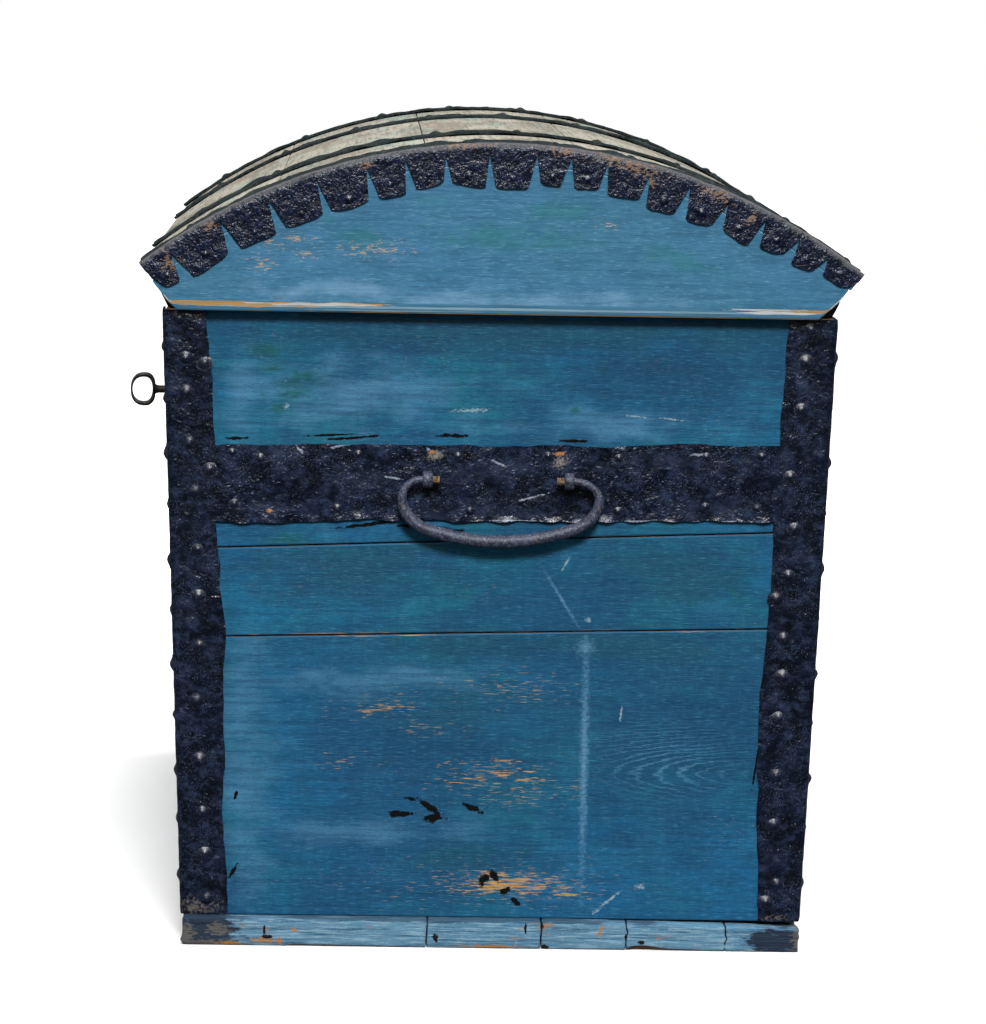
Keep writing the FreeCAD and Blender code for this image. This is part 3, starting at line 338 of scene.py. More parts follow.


# Batten paint: the same blue gone chalky, open-grained, over-painted black at both ends, with old nail
# holes and rust stains, and a painted shadow line along its top edge under the end boards.
BATTEN_PAINT_AND_SHADOW_LINE = [
    dict(size=60, drawn=3, band=(0.42, 0.62), colour="#467490", share=0.8, detail=6),
    dict(size=2.4, drawn=22, band=(0.48, 0.64), colour="#22506e", share=0.70, relief=-0.25, detail=4),
    dict(size=1.8, drawn=16, band=(0.46, 0.66), colour="#8faebd", share=0.65, relief=0.1, detail=5),
    dict(size=1.2, drawn=3, band=(0.55, 0.75), colour="#b3c4cc", share=0.50, detail=5),
    dict(size=5, drawn=2.6, band=(0.58, 0.66), colour="#8c6a4c", share=0.7,
         patches=(40, 0.52, 0.64)),
    dict(size=3, drawn=4, band=(0.46, 0.66), colour="#12172a", share=0.92, lift=0.5,
         marks=((-250, 12, 34, 60, 0), (258, 8, 34, 14, 0), (240, 10, 20, 10, 0))),
    dict(size=2, drawn=3, band=(0.48, 0.62), colour="#5d5a55", share=0.8, lift=0.25,
         marks=((-266, 8, 12, 12, 0), (269, 12, 8, 50, 0), (-245, 2, 30, 3, 0),
                (-236, 14, 10, 6, 0))),
    dict(size=1.6, drawn=1.5, band=(0.50, 0.66), colour="#a0713c", share=0.95, lift=0.3,
         marks=((-196, 5, 14, 2.6, 0), (-183, 4, 4, 4, 0), (95, 16, 2, 6, -15), (45, 20, 6, 2, 20),
                (-226, 2, 16, 1.8, 0), (0, 2, 30, 1.6, 0), (-170, 14, 3, 2, 0))),
    # Painted shadow: a dark line along the batten's top edge, where the end board above shades it.
    dict(size=6, drawn=6, band=(0.46, 0.66), colour="#173248", share=0.75, lift=0.5,
         marks=((0, 25.2, 300, 3.0, 0),)),
    dict(size=3, band=(0.50, 0.60), colour="#0b0d12", share=1.0, lift=0.5,
         marks=((-48, 9, 3, 4, 0), (-194, 8, 5, 2, 0), (46, 2, 5, 2.5, 0), (131, 7, 3, 2, 0),
                (30, 18, 1.2, 5, 0), (-196, 14, 1.2, 5, 0))),
]
batten_paint = laid_up("chalky_paint_on_foot_batten", "Y", "#56809a", 0.8, BATTEN_PAINT_AND_SHADOW_LINE, 0.15)
BATTEN_INSIDE = 0.488
BATTEN_WIDTH = 0.070
# Where the end battens have split, and the levels of their worn underside and sunken top, each by
# its place from the front to the back.
BATTEN_SPLITS = (-0.267, -0.0556, 0.0439, 0.1176, 0.2037, 0.267)
BATTEN_FOOT = ((-0.267, 0.0006), (-0.182, 0.0002), (-0.179, 0.0016), (-0.0556, 0.0006), (0.040, 0.0006),
               (0.1176, 0.0008), (0.126, 0.0040), (0.136, 0.0040), (0.150, 0.0016), (0.200, 0.0004),
               (0.267, 0.0))
BATTEN_HEAD = ((-0.267, 0.0238), (0.080, 0.0238), (0.200, 0.0216), (0.267, 0.0198))
SPLIT_HALF = 0.0006
for side, flip in (("right", False), ("left", True)):
    batten = bmesh.new()
    for number, (start, stop) in enumerate(zip(BATTEN_SPLITS, BATTEN_SPLITS[1:])):
        block = bmesh.new()
        bmesh.ops.create_cube(block, size=1.0)
        for axis, cuts in ((1, round((stop - start) / 0.006)), (2, 5), (0, 6)):
            edges = [edge for edge in block.edges
                     if abs((edge.verts[0].co - edge.verts[1].co)[axis]) > 0.9]
            bmesh.ops.subdivide_edges(block, edges=edges, cuts=cuts, use_grid_fill=True)
        first, last = number == 0, number == len(BATTEN_SPLITS) - 2
        for vert in block.verts:
            u, v, w = vert.co.x + 0.5, vert.co.y + 0.5, vert.co.z + 0.5
            low, high = (0.0016 * noise.noise(Vector((u * 4, w * 2.6, (number + step) * 3.7)))
                         for step in (0, 1))
            y = start + (0 if first else SPLIT_HALF) + low
            y += (stop - (0 if last else SPLIT_HALF) + high - y) * v
            foot, top = through(BATTEN_FOOT, y), through(BATTEN_HEAD, y)
            worn = 0.0006 * noise.noise(Vector((u * 6, y / 0.012, w * 3 + number)))
            level = foot + (top - foot) * w + worn * (1 if 0.01 < w < 0.99 else 0.6)
            vert.co = (BATTEN_INSIDE + BATTEN_WIDTH * u + worn * (u > 0.5), y, max(level, 0.0))
        eased(block, 1.0, 0.0011)
        bmesh.ops.recalc_face_normals(block, faces=block.faces)
        join_on(batten, block)
    for face in batten.faces:
        face.material_index = face.normal.x < -0.5 or face.normal.z < -0.8
    mirror_across(batten, flip)
    as_piece(f"foot_batten_{side}_split", batten, (batten_paint, pine_across), "chest_body",
             (f"foot_batten_{side}",), smooth=40)
middle_batten = planed("foot_batten_middle", lambda normal, centre: abs(normal.y) > 0.9, arris=0.0015)
as_piece("foot_batten_middle_planed", middle_batten, (across_paint, pine_across, arris_across),
         "chest_body", ("foot_batten_middle",))

# ---------------------------------------------------------------------------------------------
# Lid.  Two pine gables, a rail along the front and the back, and five staves bent over them.
# The gables are painted like the ends; the staves have weathered to grey with traces of paint.
# ---------------------------------------------------------------------------------------------
# Weathered staves: the paint has gone to a grey-beige chalk with traces of green and pink, the
# grain is open, and rain has left dark streaks.
STAVE_PAINT = [
    dict(size=70, drawn=3, band=(0.40, 0.60), colour="#a39f93", share=0.8),
    dict(size=40, drawn=3, band=(0.54, 0.68), colour="#7f948c", share=0.7),
    dict(size=45, drawn=3, band=(0.55, 0.70), colour="#a08b80", share=0.7),
    dict(size=4.0, drawn=26, band=(0.44, 0.68), colour="#5c5a4e", share=0.6, relief=-0.2, detail=4),
    dict(size=1.3, drawn=12, band=(0.52, 0.72), colour="#b6b2a6", share=0.5, relief=0.06),
    dict(size=14, drawn=3, band=(0.60, 0.70), colour="#4a4a40", share=0.6),
]
# Gable: the same blue paint, paler, partly bleached and partly painted light, as the gable stands out
# nearer the light than the end boards; rubbed to the wood in a few places under the tabs.
GABLE_PAINT = [
    dict(size=90, drawn=1.6, band=(0.42, 0.60), colour="#386f86", share=0.7),
    dict(size=70, drawn=1.5, band=(0.46, 0.62), colour="#3a7092", share=0.7),
    dict(size=14, drawn=2.2, band=(0.44, 0.62), colour="#2f6785", share=0.7, detail=8),
    dict(size=4.0, drawn=14, band=(0.40, 0.70), colour="#245874", share=0.55, relief=-0.15, detail=5),
    dict(size=1.3, drawn=6, band=(0.50, 0.78), colour="#76a9bf", share=0.44, relief=0.06, detail=4),
    dict(size=1.1, drawn=6, band=(0.52, 0.74), colour="#1f4f6c", share=0.52, relief=-0.06),
    dict(size=1.2, drawn=5, band=(0.58, 0.70), colour="#b39a78", share=0.75, lift=0.12,
         marks=((-168, 600, 10, 5, 0), (-205, 590, 12, 8, 0), (-176, 612, 16, 5, 0),
                (-196, 607, 10, 8, 0), (90, 628, 10, 4, 0), (-110, 604, 30, 8, 0))),
    dict(size=12, drawn=1.6, band=(0.46, 0.86), colour="#226f6c", share=0.40, lift=0.32, detail=7,
         marks=((-150, 634, 12, 10, 80), (-60, 645, 22, 10, 0), (0, 616, 90, 14, 0),
                (-120, 612, 30, 12, 0), (50, 640, 40, 10, 0), (150, 600, 44, 12, -20))),
    dict(size=20, drawn=2, band=(0.48, 0.90), colour="#7aa3bf", share=0.50, lift=0.3, detail=8,
         marks=((0, 560, 190, 12, 0), (-150, 570, 90, 10, 0))),
    dict(size=1.9, drawn=2.0, band=(0.74, 0.77), colour="#1a2c38", share=0.8),
]
# Foot of the gables: a worn arris with lengths of orange pine and chalk, painted below it.
GABLE_CHAMFER = [
    dict(size=3.0, drawn=24, band=(0.45, 0.62), colour="#356a88", share=0.6, relief=-0.1),
    dict(size=2.0, drawn=16, band=(0.44, 0.62), colour="#8fb0c0", share=0.8, lift=0.5,
         marks=((0, 554.4, 290, 1.0, 0), (-90, 551.6, 90, 0.6, 0))),
    dict(size=3, drawn=9, band=(0.48, 0.58), colour="#bd945c", share=0.95, lift=0.5, relief=-0.15,
         marks=((-222, 556.0, 74, 2.5, 0), (-130, 556.6, 34, 1.6, 0), (258, 556.6, 30, 1.8, 0),
                (60, 549.8, 250, 0.9, 0), (-272, 556, 10, 2.4, 0), (284, 560, 7, 10, 0))),
    dict(size=2, drawn=12, band=(0.50, 0.62), colour="#cfd3d2", share=0.85, lift=0.4,
         marks=((-165, 556.4, 60, 1.6, 0), (225, 557.6, 34, 1.6, 0), (236, 555, 34, 1.4, 0),
                (288, 562, 6, 10, 0), (-286, 562, 4, 8, 0))),
]
stave_paint = laid_up("weathered_paint_on_staves", "X", "#7f7c71", 0.95, STAVE_PAINT, 0.05)
# The gable's paler ground and clouds are partly painted light.
gable_paint = laid_up("milk_paint_on_gable", "Y", "#3d7395", 0.7, GABLE_PAINT, 0.15)
gable_arris = laid_up("worn_gable_chamfer", "Y", "#4a82a2", 0.58, GABLE_CHAMFER)
GABLE_FACE = 0.556
CHAMFER_TOP = 0.5583
CHAMFER_MIDDLE = 0.5533
# How far the worn foot of a gable has gone back at each level.
CHAMFER_DEPTH = ((0.5495, 0.0031), (CHAMFER_MIDDLE, 0.0015), (CHAMFER_TOP, 0.0))
# The planes, as point and direction, where the gables' lower corners are knocked off.
WORN_CORNERS = (((0, -0.2849, 0.5564), (0, -1, -0.80)), ((0, -0.2792, 0.5508), (0, -1, -1)),
                ((0, 0.2899, 0.5659), (0, 1, -0.74)), ((0, 0.2774, 0.5543), (0, 1, -1.08)))
for side, sign in (("right", 1), ("left", -1)):
    node = f"lid_gable_{side}"
    gable = planed(node, lambda normal, centre: normal.x * sign > 0.9, blunt=WORN_CORNERS)
    for level in (CHAMFER_TOP, CHAMFER_MIDDLE):
        bmesh.ops.bisect_plane(gable, geom=whole(gable), plane_co=(0, 0, level), plane_no=(0, 0, 1),
                               dist=1e-6)
    for vert in gable.verts:
        if abs(vert.co.x) > GABLE_FACE - 0.004 and vert.co.z < CHAMFER_TOP:
            vert.co.x -= sign * through(CHAMFER_DEPTH, vert.co.z)
    gable.normal_update()
    for face in gable.faces:
        if face.normal.x * sign > 0.5 and face.calc_center_median().z < CHAMFER_TOP:
            face.material_index = 2
    as_piece(f"{node}_planed", gable, (gable_paint, pine_across, gable_arris), "lid",
             (node,))
# The rails' ends, behind the gables' corners, are painted black with the corner bands.
RAIL_END_PAINT = [
    dict(size=14, band=(0.40, 0.66), colour="#1b2438", share=0.8, relief=0.2),
    dict(size=2, drawn=3, band=(0.56, 0.70), colour="#4a556a", share=0.6),
]
rail_end_paint = laid_up("black_paint_on_rail_ends", "X", "#0a1020", 0.5, RAIL_END_PAINT, 0.2)
BLACK_FROM = 0.484
for side, sign in (("front", -1), ("back", 1)):
    node = f"lid_rail_{side}"
    rail = planed(node, lambda normal, centre: normal.y * sign > 0.7,
                  blunt=(((0, sign * 0.2925, 0.556), (0, sign, 0)),))
    for end in (-BLACK_FROM, BLACK_FROM):
        bmesh.ops.bisect_plane(rail, geom=whole(rail), plane_co=(end, 0, 0), plane_no=(1, 0, 0),
                               dist=1e-6)
    for face in rail.faces:
        outward = face.normal.y * sign
        if abs(face.normal.x) > 0.5 or (
                outward > 0.05 and abs(face.calc_center_median().x) > BLACK_FROM):
            face.material_index = 3
        elif outward > 0.3:
            face.material_index = 0
    as_piece(f"{node}_planed", rail, (long_paint, pine_along, arris_along, rail_end_paint), "lid",
             (node,))
DOME_LEVEL = 0.19481
STAVE_TIP = 0.300


def on_top(normal, centre):
    """Whether a stave's face looks out over the dome or closes the dome's edge."""
    from_axis = Vector((0, centre.y, centre.z - DOME_LEVEL)).normalized()
    return abs(centre.y) > STAVE_TIP or normal.dot(from_axis) > 0.9


for place in ("front", "front_shoulder", "crown", "back_shoulder", "back"):
    node = f"lid_stave_{place}"
    stave = planed(node, on_top, arris=0.0008)
    for face in stave.faces:
        if abs(face.normal.x) > 0.9:
            face.material_index = 3
    as_piece(f"{node}_bent", stave, (stave_paint, pine_along, stave_paint, gable_paint), "lid",
             (node,))

# ---------------------------------------------------------------------------------------------
# Corner bands.  Strips of wrought iron hammered round the corners of the carcase, 2.5 mm thick,
# nailed through both legs and painted black in thick coats that pool and run.
# ---------------------------------------------------------------------------------------------
# Black paint on hammered iron: thick and glossy, blue-black, lumpy and pitted, with pale dust in
# the pits, scratches, and a little brown rust where it has worn through.
BLACK_PAINT = [
    dict(size=13, band=(0.30, 0.76), colour="#050c1f", share=0.9, relief=0.70),
    dict(size=22, band=(0.48, 0.72), colour="#15213a", share=0.75, rough=0.38, detail=9),
    dict(size=4.5, band=(0.34, 0.70), relief=0.15, detail=2),
    dict(size=6.5, drawn=1.4, band=(0.44, 0.80), colour="#303c58", share=0.72, detail=9),
    dict(size=1.3, band=(0.54, 0.72), colour="#46526a", share=0.80, patches=(24, 0.40, 0.60)),
    dict(size=1.3, band=(0.66, 0.74), colour="#a5afc2", share=0.72, patches=(17, 0.46, 0.60)),
    dict(size=0.9, drawn=12, turn=-18, band=(0.64, 0.74), colour="#7e8aa0", share=0.6,
         patches=(30, 0.54, 0.64)),
    dict(size=2.5, band=(0.70, 0.76), colour="#7a5a44", share=0.8, rough=0.7),
    dict(size=2.2, band=(0.56, 0.74), colour="#544d45", share=0.80, lift=0.22, rough=0.8, detail=6,
         marks=((-256, 30, 26, 12, 0), (248, 27, 16, 4, 0))),
]
black_iron = laid_up("black_painted_wrought_iron", "Y", "#02070f", 0.20, BLACK_PAINT, 0.32)
RIM_HEIGHT = 0.549
BATTEN_TOP = 0.024
RIM_HALF = 0.288
FOOT_HALF = 0.267
LEAN = (RIM_HALF - FOOT_HALF) / (RIM_HEIGHT - BATTEN_TOP)
END_FACE = 0.540
IRON = 0.0025


def side_at(height):
    """Half depth of the leaning long sides at a height."""
    return FOOT_HALF + LEAN * (height - BATTEN_TOP)


def ripple(where, size, seed):
    """Hand-made unevenness from -1 to 1, size metres from one crest to the next."""
    return noise.noise(Vector((where / size, 7.3 * seed, 1.9 * seed)))


def ragged(where, seed, amount=0.0016):
    """How far a hammered edge strays from its line."""
    return amount * (ripple(where, 0.045, seed) + 0.6 * ripple(where, 0.016, seed + 3))


def thickened(made):
    """Gives a sheet a second skin; gives back the vertices of its top and of its underside."""
    top = list(made.verts)
    grown = bmesh.ops.extrude_face_region(made, geom=list(made.faces))
    return top, [part for part in grown["geom"] if isinstance(part, bmesh.types.BMVert)]


def forged(counts, shape, seat, seed, lump=0.00035, lift=None):
    """A hammered sheet.  shape turns grid places 0..1 into (along, across) in metres; seat puts
    a point of the sheet on the wood, a height above it.  The sheet thins at its edges."""
    made = bmesh.new()
    bmesh.ops.create_grid(made, x_segments=counts[0], y_segments=counts[1], size=0.5)
    top, under = thickened(made)
    for verts, upper in ((top, True), (under, False)):
        for vert in verts:
            u, v = vert.co.x + 0.5, vert.co.y + 0.5
            along, across = shape(u, v)
            height = lift(along, v) if lift else 0.0
            if upper:
                edge = min(v, 1 - v) * counts[1]
                tip = min(u, 1 - u) * counts[0]
                rim = math.exp(-min(edge, tip) * 1.6)
                spot = Vector((along, across, seed * 0.37))
                thinned = 0.12 + 0.30 * abs(noise.noise(spot / 0.02))
                height += IRON * (1 - rim * thinned)
                height += lump * noise.noise(spot / 0.011) + 0.5 * lump * noise.noise(spot / 0.005)
            vert.co = seat(along, across, height)
    bmesh.ops.recalc_face_normals(made, faces=made.faces)
    return made


BEND_RADIUS = 0.0060
BEND = BEND_RADIUS * math.pi / 4
# How wide the leg on the end is at each height: the two seen at the right end, then the others.
LEGS_RIGHT_FRONT = ((0.024, 0.0412), (0.125, 0.0388), (0.264, 0.0444), (0.368, 0.0396),
                    (0.437, 0.0415), (0.541, 0.0370))
LEGS_RIGHT_BACK = ((0.025, 0.0364), (0.201, 0.0467), (0.280, 0.0438), (0.375, 0.0430),
                   (0.445, 0.0421), (0.549, 0.0410))
LEGS_PLAIN = ((0.024, 0.041), (0.2, 0.044), (0.4, 0.040), (0.549, 0.041))
SIDE_LEG = 0.0425
# The band on the right front corner has sprung off the front near its top.
SPRUNG = 0.0016
for end, sign_x in (("right", 1), ("left", -1)):
    for side, sign_y in (("front", -1), ("back", 1)):
        node = f"corner_band_{side}_{end}"
        seed = 11 + 5 * (sign_x > 0) + 3 * (sign_y > 0)
        legs = LEGS_PLAIN
        if sign_x > 0:
            legs = LEGS_RIGHT_FRONT if sign_y < 0 else LEGS_RIGHT_BACK

        def band_shape(u, v):
            height = BATTEN_TOP + (RIM_HEIGHT - BATTEN_TOP) * u
            end_leg = -(through(legs, height) + ragged(height, seed, 0.0022))
            side_leg = SIDE_LEG + ragged(height, seed + 7)
            across = through(((0, end_leg), (0.36, -BEND), (0.5, 0.0), (0.64, BEND), (1, side_leg)), v)
            return height, across

        def band_seat(height, across, lift):
            turn = (min(max(across / BEND, -1), 1) + 1) * math.pi / 4
            inward = max(across - BEND, 0.0) + BEND_RADIUS
            inset = max(-across - BEND, 0.0) + BEND_RADIUS
            reach = BEND_RADIUS - IRON + lift
            return Vector((sign_x * (END_FACE + IRON - inward + reach * math.cos(turn)),
                           sign_y * (side_at(height) + IRON - inset + reach * math.sin(turn)), height))

        def swollen(height, v):
            sprung = SPRUNG * (sign_x > 0 > sign_y)
            return sprung * max(0.0, 2 * v - 1) * through(((0.43, 0), (0.50, 1), (0.549, 0.8)), height)

        band = forged((130, 26), band_shape, band_seat, seed, lift=swollen)
        as_piece(f"{node}_forged", band, (black_iron,), "chest_body", (node,),
                 smooth=50)

# ---------------------------------------------------------------------------------------------
# End bands.  A wide strip across each end at handle height, its lower edge sprung off the wood.
# ---------------------------------------------------------------------------------------------
# The same black paint, scuffed pale by the handle and by its nail holes, with painted glints along the
# sprung lower edge and painted shade under the handle's eyes.
BAND_WEAR_AND_PAINTED_LIGHT = [
    dict(size=10, drawn=1.6, band=(0.46, 0.86), colour="#36425a", share=0.30, lift=0.30, detail=6,
         marks=((-118, 400, 50, 18, 0), (-30, 378, 90, 9, 0), (10, 417, 90, 10, 4),
                (-190, 428, 50, 8, 0), (150, 425, 60, 10, 0), (-200, 380, 30, 10, 0),
                (190, 385, 50, 10, 0), (60, 428, 24, 10, 0))),
    dict(size=1.2, drawn=4, turn=10, band=(0.60, 0.72), colour="#8b93a8", share=0.75,
         patches=(22, 0.44, 0.60)),
    # In this layer the pale dashes at z 371.5 to 373, along the sprung lower edge, are painted glints.
    dict(size=2.0, drawn=2, band=(0.50, 0.66), colour="#9aa3b4", share=0.70, lift=0.3,
         marks=((-172, 431, 9, 1.2, -45), (-136, 434, 9, 1.2, 12), (0, 421, 8, 1.1, -25),
                (-60, 432, 3, 2, 0), (170, 431, 6, 1.5, 0), (14, 371.5, 24, 0.9, 0),
                (72, 371.5, 14, 0.9, 0), (-90, 407, 10, 1.0, -8), (30, 392, 14, 1.0, 14),
                (118, 372.5, 26, 1.0, 2), (182, 373, 34, 0.9, 2))),
    dict(size=2.0, band=(0.48, 0.80), colour="#857f78", share=0.85, lift=0.30, rough=0.7, detail=7,
         marks=((-54.5, 427.2, 8, 4.8, 12), (53, 423, 8, 5.5, 25))),
    dict(size=2.4, band=(0.46, 0.62), colour="#a66f3c", share=0.9, lift=0.35, rough=0.7,
         marks=((52, 430, 5, 1.8, 0), (-197, 377, 2.6, 1.8, 0), (-58, 430, 4, 1.2, 0))),
    # In this layer the marks at z 398 and 399, just under the handle's eyes, are painted shade.
    dict(size=3, band=(0.50, 0.62), colour="#05070d", share=0.95, lift=0.5,
         marks=((-54, 434.5, 6, 2.2, 0), (-27, 428, 3.5, 1.8, 0), (-20, 427.6, 3.5, 1.8, 0),
                (-24, 378, 3, 2, 0), (-58, 399, 8, 3.5, 0), (60, 398, 9, 4, 0))),
]
band_iron = laid_up("black_painted_iron_scuffed_and_painted_light", "Y", "#02070f", 0.24, BLACK_PAINT + BAND_WEAR_AND_PAINTED_LIGHT, 0.20)
BAND_LOW = 0.3708
BAND_HIGH = 0.4366


def band_rise(along):
    """How much higher an end band sits at a place than in its middle: it climbs to the back."""
    return 0.0035 * along / 0.243


for end, sign in (("right", 1), ("left", -1)):
    node = f"end_band_{end}"
    seed = 31 if sign > 0 else 37

    def band_shape(u, v):
        along = -0.2445 + 0.4870 * u
        low = BAND_LOW + band_rise(along) + ragged(along, seed, 0.0030)
        high = BAND_HIGH + band_rise(along) + ragged(along, seed + 5, 0.0022)
        return along, low + (high - low) * v

    def band_seat(along, level, lift):
        return Vector((sign * (END_FACE + lift), along, level))

    def sprung(along, v):
        crest = max(0.0, 0.45 + ripple(along, 0.014, seed + 9) + 0.5 * ripple(along, 0.05, seed + 2))
        return crest * (0.0026 * max(0.0, 1 - v / 0.10) ** 1.5 + 0.0012 * max(0.0, 1 - (1 - v) / 0.08))

    band = forged((160, 22), band_shape, band_seat, seed, lump=0.0006, lift=sprung)
    as_piece(f"{node}_forged", band, (band_iron,), "chest_body", (node,),
             smooth=50)

# ---------------------------------------------------------------------------------------------
# Front bands and hinge leaves.  Straps down the front and the back in line with the lid's
# straps; those at the back end in rolled knuckles round the hinge pins.
# ---------------------------------------------------------------------------------------------
STRAP_INNER = 0.235
STRAP_WIDTH = 0.050
HINGE = Vector((0, 0.2949, 0.549))
KNUCKLE = 0.0065
PIN_HOLE = 0.00305
KNUCKLE_EASE = 0.0006
KNUCKLE_GAP = 0.0004
KNUCKLE_LENGTH = (STRAP_WIDTH - 2 * KNUCKLE_GAP) / 3
KNUCKLE_PITCH = KNUCKLE_LENGTH + KNUCKLE_GAP
LEAF_FOOT = 0.069
LEAF_TOP = 0.5415


def turned_ring(outline, centre, axis, steps):
    """A closed outline turned fully about an axis."""
    ring = bmesh.new()
    corners = [ring.verts.new(point) for point in outline]
    edges = [ring.edges.new((corners[i - 1], corners[i])) for i in range(len(corners))]
    bmesh.ops.spin(ring, geom=corners + edges, cent=centre, axis=axis, angle=2 * math.pi,
                   steps=steps, use_merge=True)
    return ring


def rolled_knuckle(made, start):
    """A rolled eye about the hinge axis, from X = start."""
    outline = ((0, PIN_HOLE), (KNUCKLE_LENGTH, PIN_HOLE), (KNUCKLE_LENGTH, KNUCKLE - KNUCKLE_EASE),
               (KNUCKLE_LENGTH - KNUCKLE_EASE, KNUCKLE), (KNUCKLE_EASE, KNUCKLE),
               (0, KNUCKLE - KNUCKLE_EASE))
    ring = turned_ring([(start + x, HINGE.y, HINGE.z + out) for x, out in outline], HINGE, (1, 0, 0), 28)
    bmesh.ops.recalc_face_normals(ring, faces=ring.faces)
    join_on(made, ring)


def billet(made, size, middle):
    """A small rectangular block of iron."""
    block = bmesh.ops.create_cube(made, size=1.0)
    bmesh.ops.scale(made, vec=size, verts=block["verts"])
    bmesh.ops.translate(made, vec=middle, verts=block["verts"])


def across_strap(along, v, seed, calm=1.0):
    """A place between a strap's two ragged edges, which calm straightens."""
    low = STRAP_INNER + ragged(along, seed) * calm
    high = STRAP_INNER + STRAP_WIDTH + ragged(along, seed + 4) * calm
    return low + (high - low) * v


def refinish(node, finish):
    """Gives a CAD piece another finish and leaves its shape alone."""
    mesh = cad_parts[node].data
    mesh.materials.clear()
    mesh.materials.append(finish)


for end, flip in (("right", False), ("left", True)):
    seed = 47 + 6 * flip

    def front_shape(u, v):
        height = BATTEN_TOP + (RIM_HEIGHT - BATTEN_TOP) * u
        return height, across_strap(height, v, seed)

    def front_seat(height, across, lift):
        return Vector((across, -side_at(height) - lift, height))

    band = forged((130, 14), front_shape, front_seat, seed)
    mirror_across(band, flip)
    as_piece(f"front_band_{end}_forged", band, (black_iron,), "chest_body", (f"front_band_{end}",),
             smooth=50)

    def leaf_shape(u, v):
        height = LEAF_FOOT + (LEAF_TOP - LEAF_FOOT) * u
        return height, across_strap(height, v, seed + 20, min(1, 20 * (1 - u)))

    def leaf_seat(height, across, lift):
        return Vector((across, side_at(height) + lift, height))

    leaf = forged((120, 14), leaf_shape, leaf_seat, seed + 20)
    for start in (STRAP_INNER, STRAP_INNER + 2 * KNUCKLE_PITCH):
        rolled_knuckle(leaf, start)
        billet(leaf, (KNUCKLE_LENGTH, IRON, 0.011),
               (start + KNUCKLE_LENGTH / 2, side_at(LEAF_TOP) + 0.0016, 0.5440))
    mirror_across(leaf, flip)
    as_piece(f"back_hinge_strap_{end}_forged", leaf, (black_iron,), "chest_body",
             (f"back_hinge_strap_{end}",), smooth=50)
    refinish(f"hinge_pin_{end}", black_iron)

# ---------------------------------------------------------------------------------------------
# Straps over the dome.  Two hinge straps that come down behind to the hinge knuckles, and two
# end straps folded over the gables, their folded legs snipped into nailed tabs.  Years of
# nailing have sprung their edges into waves.
# ---------------------------------------------------------------------------------------------
# Weathered strap iron: rain has dulled the paint over the dome to a dead grey-green black.
STRAP_PAINT = [
    dict(size=30, drawn=2, band=(0.42, 0.66), colour="#303836", share=0.8),
    dict(size=9, band=(0.40, 0.70), colour="#12171a", share=0.7, relief=0.35),
    dict(size=3, band=(0.50, 0.70), colour="#434c49", share=0.6, relief=0.06),
    dict(size=5, band=(0.66, 0.74), colour="#5c493a", share=0.8),
]
strap_iron = laid_up("weathered_strap_iron", "Y", "#20272a", 0.85, STRAP_PAINT, 0.08)
# The tabs: paint laid thick over forge scale, so it glints all over; at the fold, a ring about the
# dome's axis, it is rubbed to grey, and in places to tan.
TAB_PAINT = [
    dict(size=9, band=(0.36, 0.70), colour="#0e1830", share=0.9, relief=0.40),
    dict(size=3.2, band=(0.34, 0.68), relief=0.24, detail=2),
    dict(size=2.6, band=(0.52, 0.72), colour="#22345a", share=0.70, detail=5),
    dict(size=1.1, band=(0.62, 0.68), colour="#b4bccb", share=0.90, patches=(9, 0.47, 0.60)),
    dict(size=7, band=(0.10, 0.46), colour="#404146", share=0.85, lift=-42, rough=0.7,
         marks=((0, 194.81, 501.6, 501.6, 0),), detail=5),
    dict(size=2.2, band=(0.26, 0.46), colour="#5f5e60", share=0.55, lift=-60,
         marks=((0, 194.81, 501.8, 501.8, 0),)),
    dict(size=2.0, drawn=2, band=(0.56, 0.66), colour="#7d6450", share=0.85, lift=0.16, rough=0.7,
         marks=((52, 690, 16, 5, -6), (112, 678, 24, 7, -13), (92, 686, 12, 7, -10),
                (182, 655, 18, 6, -20), (-250, 622, 7, 5, 28), (-118, 677, 8, 4, 12),
                (-30, 694, 26, 3, 2), (126, 665, 9, 5, -30), (212, 636, 5, 7, -40),
                (-283, 590, 7, 12, 40))),
]
tab_iron = laid_up("thick_black_paint_on_tabs", "Y", "#030818", 0.28, TAB_PAINT, 0.24)
DOME_RADIUS = 0.49969
TIP = math.radians(38.2)
ARC_LENGTH = DOME_RADIUS * 2 * TIP
TURN_END = Vector((0, HINGE.y + KNUCKLE - IRON, RIM_HEIGHT + 0.0005 + KNUCKLE + 0.001))
TIP_POINT = Vector((0, DOME_RADIUS * math.sin(TIP), DOME_LEVEL + DOME_RADIUS * math.cos(TIP)))
TURN_LENGTH = (TURN_END - TIP_POINT).length
STRAP_LENGTH = ARC_LENGTH + TURN_LENGTH
WAVE_REACH = 0.25
WAVE_HEIGHT = 0.0022


def on_dome(along, across, lift):
    """A point of a strap: over the dome from the front tip, then in and down behind."""
    angle = along / DOME_RADIUS - TIP
    if along <= ARC_LENGTH:
        radius = DOME_RADIUS + lift
        return Vector((across, radius * math.sin(angle), DOME_LEVEL + radius * math.cos(angle)))
    share = (along - ARC_LENGTH) / TURN_LENGTH
    outward = Vector((0, math.sin(TIP), math.cos(TIP)))
    square = Vector((0, (TIP_POINT - TURN_END).z, -(TIP_POINT - TURN_END).y)).normalized()
    ease = min(1.0, share * 5)
    push = (outward * (1 - ease) + square * ease).normalized()
    return Vector((across, 0, 0)) + TIP_POINT.lerp(TURN_END, share) + push * lift


def wave(along, seed):
    """How much a strap's edge has sprung at a place, as a share of the highest wave."""
    return max(0.0, 0.35 + ripple(along, 0.020, seed) + 0.5 * ripple(along, 0.05, seed + 1))


